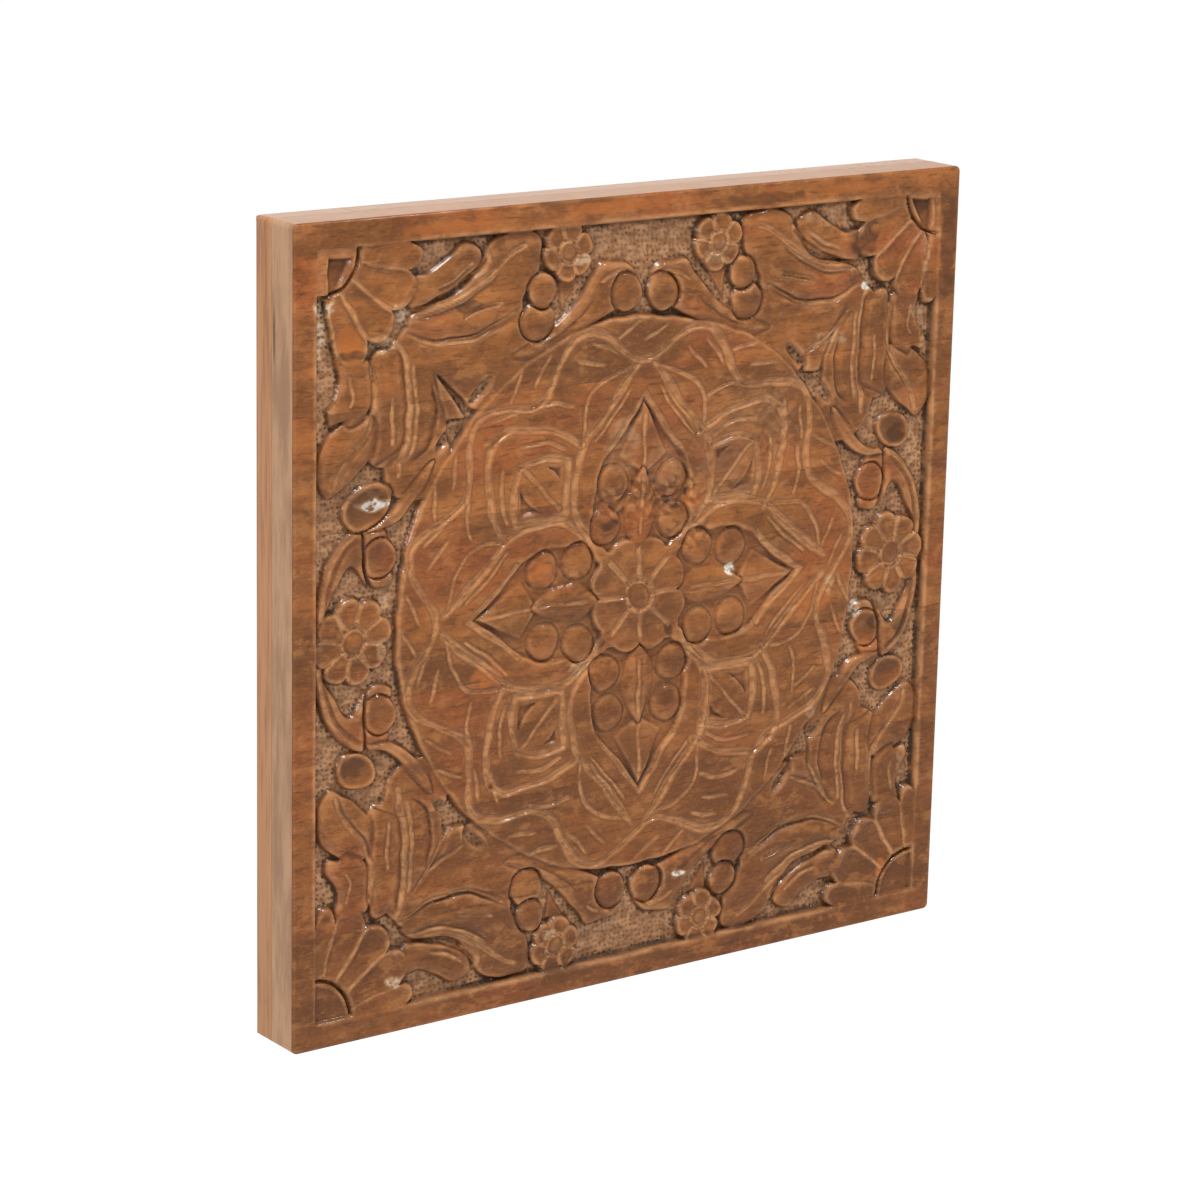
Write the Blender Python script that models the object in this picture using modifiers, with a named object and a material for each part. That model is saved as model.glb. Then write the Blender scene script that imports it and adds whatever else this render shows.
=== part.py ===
"""Carved wall panel: a square of edge-glued boards carved in low relief, on a frame of four battens.

The face looks along -Y and hangs upright. A narrow plain rim runs round it. Inside the rim four corner
sprays, small flowers, berries and side rosettes stand up from a sunk ground, round a flush medallion
whose vine, crossed petals and small frames are cut into it with a gouge. The origin is at the middle
of the top batten's back face, where the panel lies on the wall.
"""

import bmesh
import bpy
import numpy as np

MM = 0.001

# The whole panel
SIDE = 0.400
DEPTH = 0.034
BATTEN_DEPTH = 0.0145
BATTEN_WIDTH = 0.045
GAP = 0.0003
CORNER_RADIUS = 0.003
BACK_ROUNDING = 0.002
ARRIS = 0.0003

# The face
RIM_WIDTH = 0.0125
FIELD = SIDE / 2 - RIM_WIDTH
GROUND = -0.0042
LEAF_TOP = -0.0010
EDGE_DROP = -0.0023
WALL = 0.0014
MOAT = 0.0012
PETAL_TOP = -0.0006
BERRY_FOOT = -0.0034
BERRY_DOME = 0.0028
POCKET_FLOOR = -0.0034
HEART_FLOOR = -0.0017
RIM_ROUNDING = 0.0012

# The medallion
DISC_RADIUS = 0.1415
DISC_TOP = -0.0009
VINE_RADIUS = 0.1285
VINE_SWING = 0.0098
VINE_WAVES = 11
SUNK = -0.0029
CROSS_SHIFT = 0.0026
LEAF_SIDE_FLOOR = -0.0021

# Flowers
CORNER_FLOWER_RADIUS = 0.059
CORNER_HEART_RADIUS = 0.0225
CORNER_PETAL_ENDS = (0, 14, 37, 57, 78, 90)
CORNER_SCOOPS = (0, 0.0015, 0.0018, 0.0017, 0.0002)
ROSETTE_SCOOP = 0.0008
BUTTON_TOP = -0.0003
BUTTON_DOME = 0.0011
SIDE_ROSETTE_RADIUS = 0.0222
SMALL_FLOWER_RADIUS = 0.0155
CENTRE_ROSETTE_RADIUS = 0.0305

# Cuts of the gouge: half width and depth
GOUGE = (0.0017, 0.0014)
WIDE_GOUGE = (0.0024, 0.0014)
FINE_GOUGE = (0.0014, 0.0010)

# The surface is worked out on a fine grid and thinned to this many triangles
GRID_STEPS = 320
PANEL_TRIANGLES = 8500

FAR = 1.0
CENTRE_Z = BATTEN_WIDTH / 2 - SIDE / 2


def smooth(share):
    """Run from 0 to 1 with level ends."""
    share = np.clip(share, 0, 1)
    return share * share * (3 - 2 * share)


def smooth_path(points, closed=False, steps=7):
    """Draw a rounded line through points given in millimetres (a Catmull-Rom curve)."""
    points = np.array(points) * MM
    if closed:
        ring = np.concatenate((points[-1:], points, points[:2]))
    else:
        ring = np.concatenate((2 * points[:1] - points[1:2], points, 2 * points[-1:] - points[-2:-1]))
    t = np.linspace(0, 1, steps, endpoint=False)[:, None]
    before, start, end, after = (ring[k:len(ring) - 3 + k, None] for k in range(4))
    curve = start + 0.5 * t * (end - before) + t * t * (before - 2.5 * start + 2 * end - 0.5 * after)
    curve = curve + t ** 3 * (1.5 * (start - end) + 0.5 * (after - before))
    last = points[:1] if closed else points[-1:]
    return np.concatenate((curve.reshape(-1, 2), last))


def path_distance(p, q, path, reach):
    """Measure the points near a path: how far off, how far along it as a share, whether inside a closed
    path, and whether on its right hand.
    """
    low, high = path.min(0) - reach, path.max(0) + reach
    near = (p > low[0]) & (p < high[0]) & (q > low[1]) & (q < high[1])
    near_p, near_q = p[near], q[near]
    best = np.full(near_p.shape, FAR)
    way = np.zeros(near_p.shape)
    within = np.zeros(near_p.shape, dtype=bool)
    turned = np.zeros(near_p.shape, dtype=bool)
    for k, (start, end) in enumerate(zip(path[:-1], path[1:])):
        run = end - start
        off_p, off_q = near_p - start[0], near_q - start[1]
        t = np.clip((off_p * run[0] + off_q * run[1]) / max(run @ run, 1e-12), 0, 1)
        gap = np.hypot(off_p - t * run[0], off_q - t * run[1])
        way = np.where(gap < best, (k + t) / (len(path) - 1), way)
        turned = np.where(gap < best, off_q * run[0] > off_p * run[1], turned)
        best = np.minimum(best, gap)
        spans = (start[1] > near_q) != (end[1] > near_q)
        within ^= spans & ((off_p * run[1] < off_q * run[0]) == (run[1] > 0))
    distance, share = np.full(p.shape, FAR), np.zeros(p.shape)
    inside, right_hand = np.zeros(p.shape, dtype=bool), np.zeros(p.shape, dtype=bool)
    distance[near], share[near], inside[near], right_hand[near] = best, way, within, turned
    return distance, share, inside, right_hand


class Relief:
    """Heights over the face, worked as a carver works: masses first, then cuts into them."""

    def __init__(self, x, z):
        self.x, self.z = x, z
        self.height = np.full(x.shape, GROUND)

    def lay_over(self, inside, top, wall=WALL, moat=MOAT):
        """Leave a form standing where inside, the distance in from its outline, is positive."""
        base = np.maximum(np.minimum(self.height, top), GROUND)
        up = base + (top - base) * smooth(inside / wall)
        out = base + (self.height - base) * smooth(-inside / moat)
        self.height = np.where(inside > 0, up, out)

    def sink(self, inside, floor, wall=0.0018):
        """Cut down to a floor, with a sloping wall."""
        share = np.clip(inside / wall, 0, 1)
        lower = self.height + (floor - self.height) * share
        self.height = np.where(inside > 0, np.minimum(self.height, lower), self.height)

    def gouge(self, off, cut=GOUGE, strength=1.0):
        """Cut a rounded trough along the line where off, the distance to the side, is zero."""
        half, depth = cut
        self.height = self.height - depth * strength * smooth(1.3 * (1 - np.abs(off) / half))


def stroke(relief, p, q, points, cut=GOUGE, taper=0.12):
    """Cut a V along a rounded line, run out over a share of its length at both ends."""
    distance, share, _, _ = path_distance(p, q, smooth_path(points), 0.004)
    ends = np.clip(np.minimum(share, 1 - share) / taper, 0, 1) ** 0.5 if taper else 1.0
    relief.gouge(distance, cut, ends)


def overlap(relief, p, q, points, drop=0.0013, run=0.0055, taper=0.15):
    """Cut down beside a rounded line and ease back up, so that its left side lies over the right."""
    distance, share, _, right_hand = path_distance(p, q, smooth_path(points), run)
    ends = np.clip(np.minimum(share, 1 - share) / taper, 0, 1) ** 0.5
    eased = np.clip(1 - distance / run, 0, 1) ** 1.5
    fall = np.where(right_hand, eased, np.clip(1 - distance / 0.0007, 0, 1))
    relief.height = relief.height - drop * ends * fall


def leaf(relief, p, q, outline, top=LEAF_TOP, crown=0.0045, edge=EDGE_DROP):
    """Lay a pillowed leaf inside a rounded outline."""
    distance, _, within, _ = path_distance(p, q, smooth_path(outline, closed=True), 0.003)
    inside = np.where(within, distance, -distance)
    relief.lay_over(inside, edge + (top - edge) * smooth(inside / crown))


def blade(relief, p, q, line, width, top=LEAF_TOP):
    """Lay a pointed leaf along a rounded line, widest a little before its middle."""
    full = width * MM
    distance, share, _, _ = path_distance(p, q, smooth_path(line), full / 2 + 0.003)
    half = full / 2 * np.sin(np.pi * share ** 0.8) ** 0.7
    inside = half - distance
    crown = smooth(1.5 * np.clip(inside / np.maximum(half, 1e-5), 0, 1))
    relief.lay_over(inside, EDGE_DROP + (top - EDGE_DROP) * crown)


def berry(relief, p, q, at, radius, stretch=1.0, turn=0.0, hollow=0.0):
    """Lay a domed berry, or a cup where hollow spoons its middle out."""
    dp, dq = p - at[0] * MM, q - at[1] * MM
    radius = radius * MM
    along = dp * np.cos(turn) + dq * np.sin(turn)
    across = (dq * np.cos(turn) - dp * np.sin(turn)) * stretch
    out = np.hypot(along, across)
    dome = np.sqrt(np.clip(1 - (out / radius) ** 2, 0, 1))
    relief.lay_over(radius - out, BERRY_FOOT + BERRY_DOME * dome)
    bowl = np.clip(1 - (out / (0.86 * radius)) ** 2, 0, 1)
    relief.height = relief.height - hollow * bowl


def rosette(relief, at, radius, petals, turn, button):
    """Lay a round flower: scooped petals, V cuts between them and a domed button."""
    dx, dz = relief.x - at[0], relief.z - at[1]
    out = np.hypot(dx, dz)
    part = (np.arctan2(dz, dx) - turn) * petals / (2 * np.pi)
    part = np.abs(part - np.round(part)) * 2
    inside = radius * (1 - 0.17 * part ** 3) - out
    scoop = ROSETTE_SCOOP * np.clip(1 - ((out / radius - 0.66) / 0.36) ** 2, 0, 1) * (1 - part ** 2)
    relief.lay_over(inside, PETAL_TOP - scoop)
    relief.gouge(np.where((inside > 0) & (out > button), (1 - part) * np.pi / petals * out, FAR))
    relief.gouge(np.where(inside > 0, out - 1.12 * button, FAR))
    dome = np.clip(1 - (out / button) ** 2, 0, 1)
    relief.height = np.where(out < button, BUTTON_TOP - BUTTON_DOME * (1 - dome), relief.height)


def rim_fan(relief, p, q):
    """Carve the leaves along the top or bottom rim: p runs from the corner and q away from the rim."""
    leaf(relief, p, q, ((45, 46), (56, 58), (68, 67), (80, 78), (92, 86), (112, 76), (140, 60),
                        (124, 42), (60, 38)), top=-0.0017, crown=0.010)
    leaf(relief, p, q, ((50, 41), (56, 33), (80, 27), (90, 15), (97, 5), (108, 1), (122, 1),
                        (127.5, 6), (126, 18), (121, 27), (116, 34), (115, 41), (104, 46), (88, 50),
                        (70, 49)), top=-0.0012, crown=0.006)
    overlap(relief, p, q, ((50, 43), (63, 48), (76, 49.5), (88, 48.5), (98, 45), (112, 38)), 0.0016, 0.004)
    overlap(relief, p, q, ((102, 35), (91, 37.5), (80, 40.5)), 0.0010, 0.004)
    overlap(relief, p, q, ((56, 36.5), (68, 36.5), (80, 33.5), (91, 28), (101, 21)), 0.0014, 0.005)
    leaf(relief, p, q, ((49, 16), (62, 15.5), (72, 10.5), (80, 4.5), (86, 4.5), (92, 9), (90, 17),
                        (80, 23), (68, 29), (52, 32)), crown=0.005)
    overlap(relief, p, q, ((52, 31), (66, 30.5), (77, 26.5), (88, 20), (94, 13)), 0.0012, 0.004)
    stroke(relief, p, q, ((94, 8), (95, 14), (91, 19), (83, 22.5), (74, 25.5)), taper=0.06)
    overlap(relief, p, q, ((66, 25.5), (76, 21.8), (84, 17)), 0.0008, 0.003)
    stroke(relief, p, q, ((53, 32.5), (66, 33), (79, 30), (90, 24.5), (100, 17.5), (108, 12),
                          (118, 7.5)), taper=0.04)


def side_fan(relief, p, q):
    """Carve the spray along a side rim, with a long rib: p runs from the corner and q away from the rim."""
    leaf(relief, p, q, ((44, 46), (50, 56), (62, 66), (76, 73), (92, 74), (112, 76), (124, 66),
                        (124, 50), (108, 38), (60, 36)), top=-0.0016, crown=0.008)
    leaf(relief, p, q, ((50, 31), (52, 46), (66, 49), (80, 50), (94, 49), (104, 43), (106, 36),
                        (100, 29), (84, 29)), top=-0.0012, crown=0.005)
    leaf(relief, p, q, ((80, 15), (88, 5), (98, 1), (108, 1.5), (117, 8), (113, 16), (108, 23),
                        (100, 31), (88, 33), (78, 30)), crown=0.005)
    leaf(relief, p, q, ((50, 11), (52, 29), (66, 31), (78, 29), (84, 19), (81, 14), (82, 7), (76, 5),
                        (70, 9), (62, 12)), crown=0.004)
    stroke(relief, p, q, ((56, 30.5), (66, 31.5), (77, 31.5), (87, 27.5), (96, 20), (104, 14),
                          (113, 11)), taper=0.05)
    overlap(relief, p, q, ((113, 12.2), (104, 15.6), (97, 21.5), (87.5, 29), (77, 33)), 0.0009, 0.004)
    overlap(relief, p, q, ((104, 32), (101, 40), (98, 47)), 0.0008, 0.003)
    overlap(relief, p, q, ((106, 47.5), (92, 49.5), (76, 50), (60, 48.5), (50, 46)), 0.0009, 0.004)
    stroke(relief, p, q, ((44, 44), (56, 49.5), (76, 51), (92, 50.5), (103, 47), (112, 46)), taper=0.05)
    overlap(relief, p, q, ((106, 53), (100, 62), (90, 66), (80, 66.5), (68, 64)), 0.0014, 0.005)


def facet(relief, p, q, corners, top, wall=WALL):
    """Leave a flat piece with straight sides.

    Its corners are in millimetres and run round it from p towards q.
    """
    inside = np.full(p.shape, FAR)
    for start, end in zip(corners, corners[1:] + corners[:1]):
        run_p, run_q = end[0] - start[0], end[1] - start[1]
        off = (q - start[1] * MM) * run_p - (p - start[0] * MM) * run_q
        inside = np.minimum(inside, off / np.hypot(run_p, run_q))
    relief.lay_over(inside, top, wall)


def corner_flower(relief, p, q, top_corner, open_side):
    """Carve the quarter flower in a corner: five petals round a heart with a pocket.

    The two petals along the rims are flat bands, the three between them are scooped. Where open_side is
    true, the last petal is cut away down to the ground. The lower corners have a shallow round heart.
    """
    out, way = np.hypot(p, q), np.arctan2(q, p)
    ends = np.radians(CORNER_PETAL_ENDS)
    number = np.clip(np.searchsorted(ends, way) - 1, 0, len(CORNER_SCOOPS) - 1)
    half = (ends[number + 1] - ends[number]) / 2
    part = np.abs(way - ends[number] - half) / half
    petal = ~(open_side & (number == len(CORNER_SCOOPS) - 1))
    flat = (number == 0) | (number == len(CORNER_SCOOPS) - 1)
    tips = CORNER_FLOWER_RADIUS * (1 - 0.12 * part ** 3)
    inside = np.where(petal, np.minimum(tips - out, out - CORNER_HEART_RADIUS), -FAR)
    beside = (1 - part) * half * out
    along = np.clip((out - 0.024) / 0.030, 0, 1)
    scoop = np.array(CORNER_SCOOPS)[number] * np.sin(np.pi * along) ** 0.6 * smooth(beside / 0.0035)
    relief.lay_over(inside, PETAL_TOP - scoop)
    relief.gouge(np.where((inside > 0) & ~flat, beside, FAR), FINE_GOUGE, 0.8)
    relief.lay_over(CORNER_HEART_RADIUS - out, PETAL_TOP)
    relief.gouge(np.where(out > CORNER_HEART_RADIUS - 0.0016, out - CORNER_HEART_RADIUS, FAR), FINE_GOUGE)
    wedge = np.minimum(np.minimum(p - 5.5 * MM, q - 3.5 * MM), (22 * MM - p - 0.55 * q) / 1.15)
    pocket = np.where(top_corner, wedge, 21 * MM - out)
    relief.sink(pocket, np.where(top_corner, POCKET_FLOOR, HEART_FLOOR))


def border(relief):
    """Carve everything between the rim and the medallion."""
    p = FIELD - np.abs(relief.x)
    q = FIELD - np.abs(relief.z)
    rim_fan(relief, p, q)
    side_fan(relief, q, p)
    facet(relief, relief.x + FIELD, FIELD - relief.z,
          ((62.5, 59.5), (84.5, 88.5), (69.5, 88), (67, 76)), -0.0006)
    others = np.where((relief.x < 0) & (relief.z > 0), FAR, p)
    facet(relief, others, q, ((60, 60), (72, 67.5), (86, 76), (86, 86), (76, 86), (67.5, 72)), -0.0012)
    for along, across in ((others, q), (q, others)):
        overlap(relief, along, across, ((56, 57), (62, 63), (71, 69.5), (85, 75.5)), 0.0013, 0.004)
    for at_p, at_q in ((0.0915, 0.0765), (0.0725, 0.0965)):
        across, along = (p - at_p + q - at_q) / 1.414, (p - at_p - q + at_q) / 1.414
        relief.sink(0.0036 - np.hypot(across, along * 0.35), GROUND)
    corner_flower(relief, p, q, relief.z > 0, (relief.z > 0) & (relief.x < 0))

    leaf(relief, p, q, ((110, 60), (126, 53), (138, 45), (147, 37), (156, 26), (161, 19.5),
                        (170, 19.5), (180, 22), (184, 29), (178, 40), (168, 46), (153, 52), (137, 57),
                        (122, 64)), crown=0.004)
    overlap(relief, p, q, ((126, 57), (142, 50), (156, 38)), 0.0008, 0.004)
    facet(relief, p, q, ((136, 27), (149, 26), (138, 43)), -0.0034)
    berry(relief, p, q, (124.2, 45), 10.2)
    berry(relief, p, q, (126.5, 30.5), 9)
    berry(relief, p, q, (176.5, 35.8), 10)

    leaf(relief, p, q, ((25, 131), (29, 137), (28.5, 150), (31, 163), (21, 151), (14, 160), (8, 172),
                        (6, 186), (2, 186), (2, 165), (6, 150), (14, 139)), crown=0.004)
    overlap(relief, p, q, ((26, 137), (17, 144), (10, 156), (7, 170)), 0.0008, 0.004)
    leaf(relief, p, q, ((29, 133), (38, 133), (43, 138), (43.5, 150), (46, 160), (42, 164),
                        (33, 163), (29, 150)), top=-0.0016, crown=0.003)
    blade(relief, p, q, ((66, 106), (56, 120), (44, 131), (28, 135)), 9)
    wide = (relief.x < 0) & (relief.z > 0)
    cup = (np.where(wide, 30.5, 23), 123)
    berry(relief, p, q, cup, np.where(wide, 15, 12.5), stretch=1.35, turn=-0.38, hollow=0.0036)
    berry(relief, p, q, (38, 149), 10, hollow=0.0022)
    for side in (-1, 1):
        rosette(relief, (side * 0.165, 0), SIDE_ROSETTE_RADIUS, 8, 0.2, 0.006)
        for end in (-1, 1):
            rosette(relief, (side * 0.0455, end * 0.1745), SMALL_FLOWER_RADIUS, 6, 0.3, 0.005)


def vine_drift(way):
    """Turn the vine's waves a few degrees, as they were set out by eye."""
    return np.radians(-5.0) - np.radians(6.5) * np.cos(way - np.radians(235))


def vine(relief):
    """Cut the wavy vine and the short leaf cuts in its bays."""
    out, way = np.hypot(relief.x, relief.z), np.arctan2(relief.z, relief.x)
    phase = VINE_WAVES * (way - np.radians(90) - vine_drift(way))
    ring = VINE_RADIUS - VINE_SWING * np.cos(phase)
    slope = VINE_SWING * np.sin(phase) * VINE_WAVES / VINE_RADIUS
    relief.gouge((out - ring) / np.sqrt(1 + slope ** 2), WIDE_GOUGE)
    for k in range(2 * VINE_WAVES):
        crest = np.radians(90 + k * 180 / VINE_WAVES)
        crest += vine_drift(crest)
        outer_bay = k % 2 == 0
        tilt = np.radians(32 if outer_bay else -30)
        spots = ((0.1325, -3.2), (0.1345, 3.8)) if outer_bay else ((0.1225, -0.5), (0.1275, -5.0))
        for radius, lag in spots:
            at = crest + np.radians(lag)
            leaf_cut(relief, radius * np.cos(at), radius * np.sin(at), at - np.pi / 2 + tilt)


def leaf_cut(relief, x, z, turn, length=0.0185):
    """Cut one short straight stroke, run out at both ends."""
    dx, dz = relief.x - x, relief.z - z
    along = dx * np.cos(turn) + dz * np.sin(turn)
    across = dz * np.cos(turn) - dx * np.sin(turn)
    relief.gouge(across, FINE_GOUGE, np.clip(1 - (2 * along / length) ** 2, 0, 1) ** 0.7)


def cross_petal(relief, p, q):
    """Carve one petal of the cross: p runs out from the centre and q, positive, to both sides."""
    ahead = p > 0.024
    edge = np.interp(p / MM, (24, 32, 40, 50, 62, 70, 76, 84, 102),
                     (20, 26.5, 29, 29.5, 28.5, 25, 20, 12, 0))
    relief.sink(np.where(ahead, edge * MM - q, -FAR), SUNK)
    stroke(relief, p, q, ((119, 3), (107, 14), (96, 22), (86, 31), (77, 38), (66, 41), (50, 41.5),
                          (40, 37), (28, 27)), WIDE_GOUGE, taper=0.04)
    stroke(relief, p, q, ((104, -1), (90, 9.5), (82, 15), (74, 23)), taper=0)
    kite = np.minimum((0.102 - p) * 0.48 - q * 0.87, (p - 0.060) * 0.84 - q * 0.54) - 0.0012
    top = LEAF_TOP - 0.0014 * np.clip(q / 0.016, 0, 1)
    relief.lay_over(np.where(ahead, kite, -FAR), top)
    relief.gouge(np.where(ahead & (kite > 0.0003), q, FAR), FINE_GOUGE, 0.7)
    blade(relief, p, q, ((26, 0), (45, 0), (66, 0)), 20)
    berry(relief, p, q, (58, 18), 9.8)
    berry(relief, p, q, (37, 20.5), 9.6)


def corner_frame(relief, p, q):
    """Cut a small square frame round a leaf, and the two outlines outside it."""
    size = 0.028
    in_p, in_q = p - 0.044, q - 0.0435
    bow_p = 0.003 * np.sin(np.pi * np.clip(in_p / size, 0, 1))
    bow_q = 0.003 * np.sin(np.pi * np.clip(in_q / size, 0, 1))
    box = np.minimum(np.minimum(in_p, in_q), np.minimum(size + bow_q - in_p, size + bow_p - in_q))
    distance, share, _, _ = path_distance(p, q, smooth_path(((46, 46), (58, 59), (73, 73))), 0.020)
    middle = 0.010 * np.sin(np.pi * share) ** 0.8 - distance
    relief.sink(np.where(middle > 0, -FAR, box - 0.0035), LEAF_SIDE_FLOOR)
    relief.gouge(np.where(box > -0.003, box, FAR), WIDE_GOUGE)
    relief.gouge(np.where(middle > 0, distance, FAR), FINE_GOUGE)
    for along, across in ((p, q), (q, p)):
        outline = ((79, 36), (86, 50), (90, 66), (91, 79), (87, 87))
        stroke(relief, along, across, outline, WIDE_GOUGE, taper=0)


def medallion(relief):
    """Carve the round middle: vine, frames, crossed petals and the centre rosette."""
    out = np.hypot(relief.x, relief.z)
    relief.lay_over(DISC_RADIUS - out, DISC_TOP, wall=0.0018, moat=0.0010)
    relief.gouge(out - DISC_RADIUS + 0.0016, FINE_GOUGE, 0.35)
    vine(relief)
    corner_frame(relief, np.abs(relief.x), np.abs(relief.z))
    x, z = relief.x - CROSS_SHIFT, relief.z
    for ahead, aside in ((x, z), (z, x), (-x, z), (-z, x)):
        cross_petal(relief, ahead, np.abs(aside))
    rosette(relief, (CROSS_SHIFT, 0.0008), CENTRE_ROSETTE_RADIUS, 8, np.radians(22.5), 0.0072)


def face_heights(x, z):
    """Work out the carved face at every point: 0 on the rim, below 0 where wood is cut away."""
    bent_x = x + 0.0012 * np.sin(z / 0.037 + 1.1) + 0.0007 * np.sin(z / 0.013 + x / 0.05)
    bent_x = bent_x + 0.0003 * np.sin(z / 0.0031 + 2 * np.sin(x / 0.011))
    bent_x = bent_x + 0.00012 * np.sin(z / 0.0017 + x / 0.009)
    bent_z = z + 0.0011 * np.sin(x / 0.033 + 0.4) + 0.0007 * np.sin(x / 0.015 - z / 0.06 + 2)
    bent_z = bent_z + 0.0003 * np.sin(x / 0.0035 + 2 * np.sin(z / 0.012))
    bent_z = bent_z + 0.00012 * np.sin(x / 0.0019 - z / 0.008)
    relief = Relief(bent_x, bent_z)
    border(relief)
    medallion(relief)
    from_rim = FIELD - np.maximum(np.abs(x), np.abs(z))
    heights = relief.height * np.clip(from_rim / WALL, 0, 1)
    from_edge = SIDE / 2 - np.maximum(np.abs(x), np.abs(z))
    share = np.clip(1 - from_edge / RIM_ROUNDING, 0, 1)
    return heights - RIM_ROUNDING * (1 - np.sqrt(1 - share ** 2)) * 0.8


def round_corners(x, z):
    """Draw the points near each corner of the square in onto a rounded corner."""
    start = SIDE / 2 - CORNER_RADIUS
    over_x, over_z = np.maximum(np.abs(x) - start, 0), np.maximum(np.abs(z) - start, 0)
    reach = np.maximum(np.hypot(over_x, over_z), 1e-9)
    shrink = np.maximum(over_x, over_z) / reach
    x = np.where(over_x > 0, np.sign(x) * (start + over_x * shrink), x)
    z = np.where(over_z > 0, np.sign(z) * (start + over_z * shrink), z)
    return x, z


def material(name, colour, roughness):
    """Make a plain wood finish."""
    made = bpy.data.materials.new(name)
    made.use_nodes = True
    shader = made.node_tree.nodes["Principled BSDF"]
    shader.inputs["Base Color"].default_value = (*colour, 1.0)
    shader.inputs["Roughness"].default_value = roughness
    shader.inputs["Metallic"].default_value = 0.0
    return made


def carved_panel(collection):
    """Make the boards as one slab: a grid pushed in by the carving, closed at the sides and back."""
    bm = bmesh.new()
    steps = GRID_STEPS + 2
    bmesh.ops.create_grid(bm, x_segments=steps, y_segments=steps, size=0.5)
    bmesh.ops.contextual_create(bm, geom=[edge for edge in bm.edges if edge.is_boundary])
    mesh = bpy.data.meshes.new("carved_panel")
    bm.to_mesh(mesh)

    flat = np.empty(len(mesh.vertices) * 3)
    mesh.vertices.foreach_get("co", flat)
    x, z, _ = flat.reshape(-1, 3).T
    back = np.maximum(np.abs(x), np.abs(z)) > 0.5 - 0.5 / steps
    span = np.where(back, 1, steps / GRID_STEPS) * SIDE
    x, z = x * span, z * span
    depth = np.where(back, DEPTH - BATTEN_DEPTH - GAP, -face_heights(x, z))
    x, z = round_corners(x, z)
    for vert, place in zip(bm.verts, np.stack((x, depth, z), axis=1)):
        vert.co = place
    bm.normal_update()
    bmesh.ops.recalc_face_normals(bm, faces=bm.faces)
    if bm.calc_volume(signed=True) < 0:
        bmesh.ops.reverse_faces(bm, faces=bm.faces)
    bmesh.ops.triangulate(bm, faces=bm.faces)
    triangles = len(bm.faces)
    bm.to_mesh(mesh)
    bm.free()

    panel = bpy.data.objects.new("carved_panel", mesh)
    panel.location = (0, -DEPTH, CENTRE_Z)
    collection.objects.link(panel)
    thin = panel.modifiers.new("thin", "DECIMATE")
    thin.ratio = PANEL_TRIANGLES / triangles
    thin.use_collapse_triangulate = True
    mesh.materials.append(material("carved_wood", (0.34, 0.13, 0.045), 0.42))
    return panel


def batten(collection, name, width, height, x, z, outward, wood):
    """Make one planed bar; outward points to the side of it that is an edge of the panel.

    An upright's ends are edges of the panel too: their corners take the panel's corner radius. All edges
    between the back and the panel's outside are rounded.
    """
    bm = bmesh.new()
    bmesh.ops.create_cube(bm, size=1.0)
    bmesh.ops.scale(bm, verts=bm.verts, vec=(width, BATTEN_DEPTH, height))
    upright = outward[0] != 0

    def outside(spot):
        ends = upright and abs(spot.z) > height / 2 - ARRIS
        return ends or spot.x * outward[0] + spot.z * outward[1] > min(width, height) / 2 - ARRIS

    if upright:
        corners = [edge for edge in bm.edges if all(vert.co.x * outward[0] > 0 for vert in edge.verts)
                   and edge.verts[0].co.z * edge.verts[1].co.z > 0]
        bmesh.ops.bevel(bm, geom=corners, offset=CORNER_RADIUS, segments=4, profile=0.5, affect="EDGES")
    back = [edge for edge in bm.edges if all(vert.co.y > BATTEN_DEPTH / 2 - ARRIS for vert in edge.verts)
            and outside((edge.verts[0].co + edge.verts[1].co) / 2)]
    bmesh.ops.bevel(bm, geom=back, offset=BACK_ROUNDING, segments=3, profile=0.5, affect="EDGES")
    mesh = bpy.data.meshes.new(name)
    bm.to_mesh(mesh)
    bm.free()
    bar = bpy.data.objects.new(name, mesh)
    bar.location = (x, -BATTEN_DEPTH / 2, z)
    collection.objects.link(bar)
    ease = bar.modifiers.new("ease", "BEVEL")
    ease.width = ARRIS
    ease.segments = 1
    mesh.materials.append(wood)
    return bar


def battens(collection):
    """Lay the frame: two full-height sides, and a top and a bottom rail between them."""
    wood = material("batten_wood", (0.42, 0.20, 0.085), 0.55)
    across = SIDE - 2 * BATTEN_WIDTH - 2 * GAP
    offset = SIDE / 2 - BATTEN_WIDTH / 2
    for name, side in (("batten_left", -1), ("batten_right", 1)):
        batten(collection, name, BATTEN_WIDTH, SIDE, side * offset, CENTRE_Z, (side, 0), wood)
    for name, end in (("batten_bottom", -1), ("batten_top", 1)):
        batten(collection, name, across, BATTEN_WIDTH, 0, CENTRE_Z + end * offset, (0, end), wood)


def main():
    for item in list(bpy.data.objects):
        bpy.data.objects.remove(item, do_unlink=True)
    collection = bpy.data.collections.new("carved_wall_panel")
    bpy.context.scene.collection.children.link(collection)
    carved_panel(collection)
    battens(collection)


main()
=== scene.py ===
"""Carved wall panel, its looks: lacquered boards carved in low relief, on a frame of four battens."""

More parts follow.
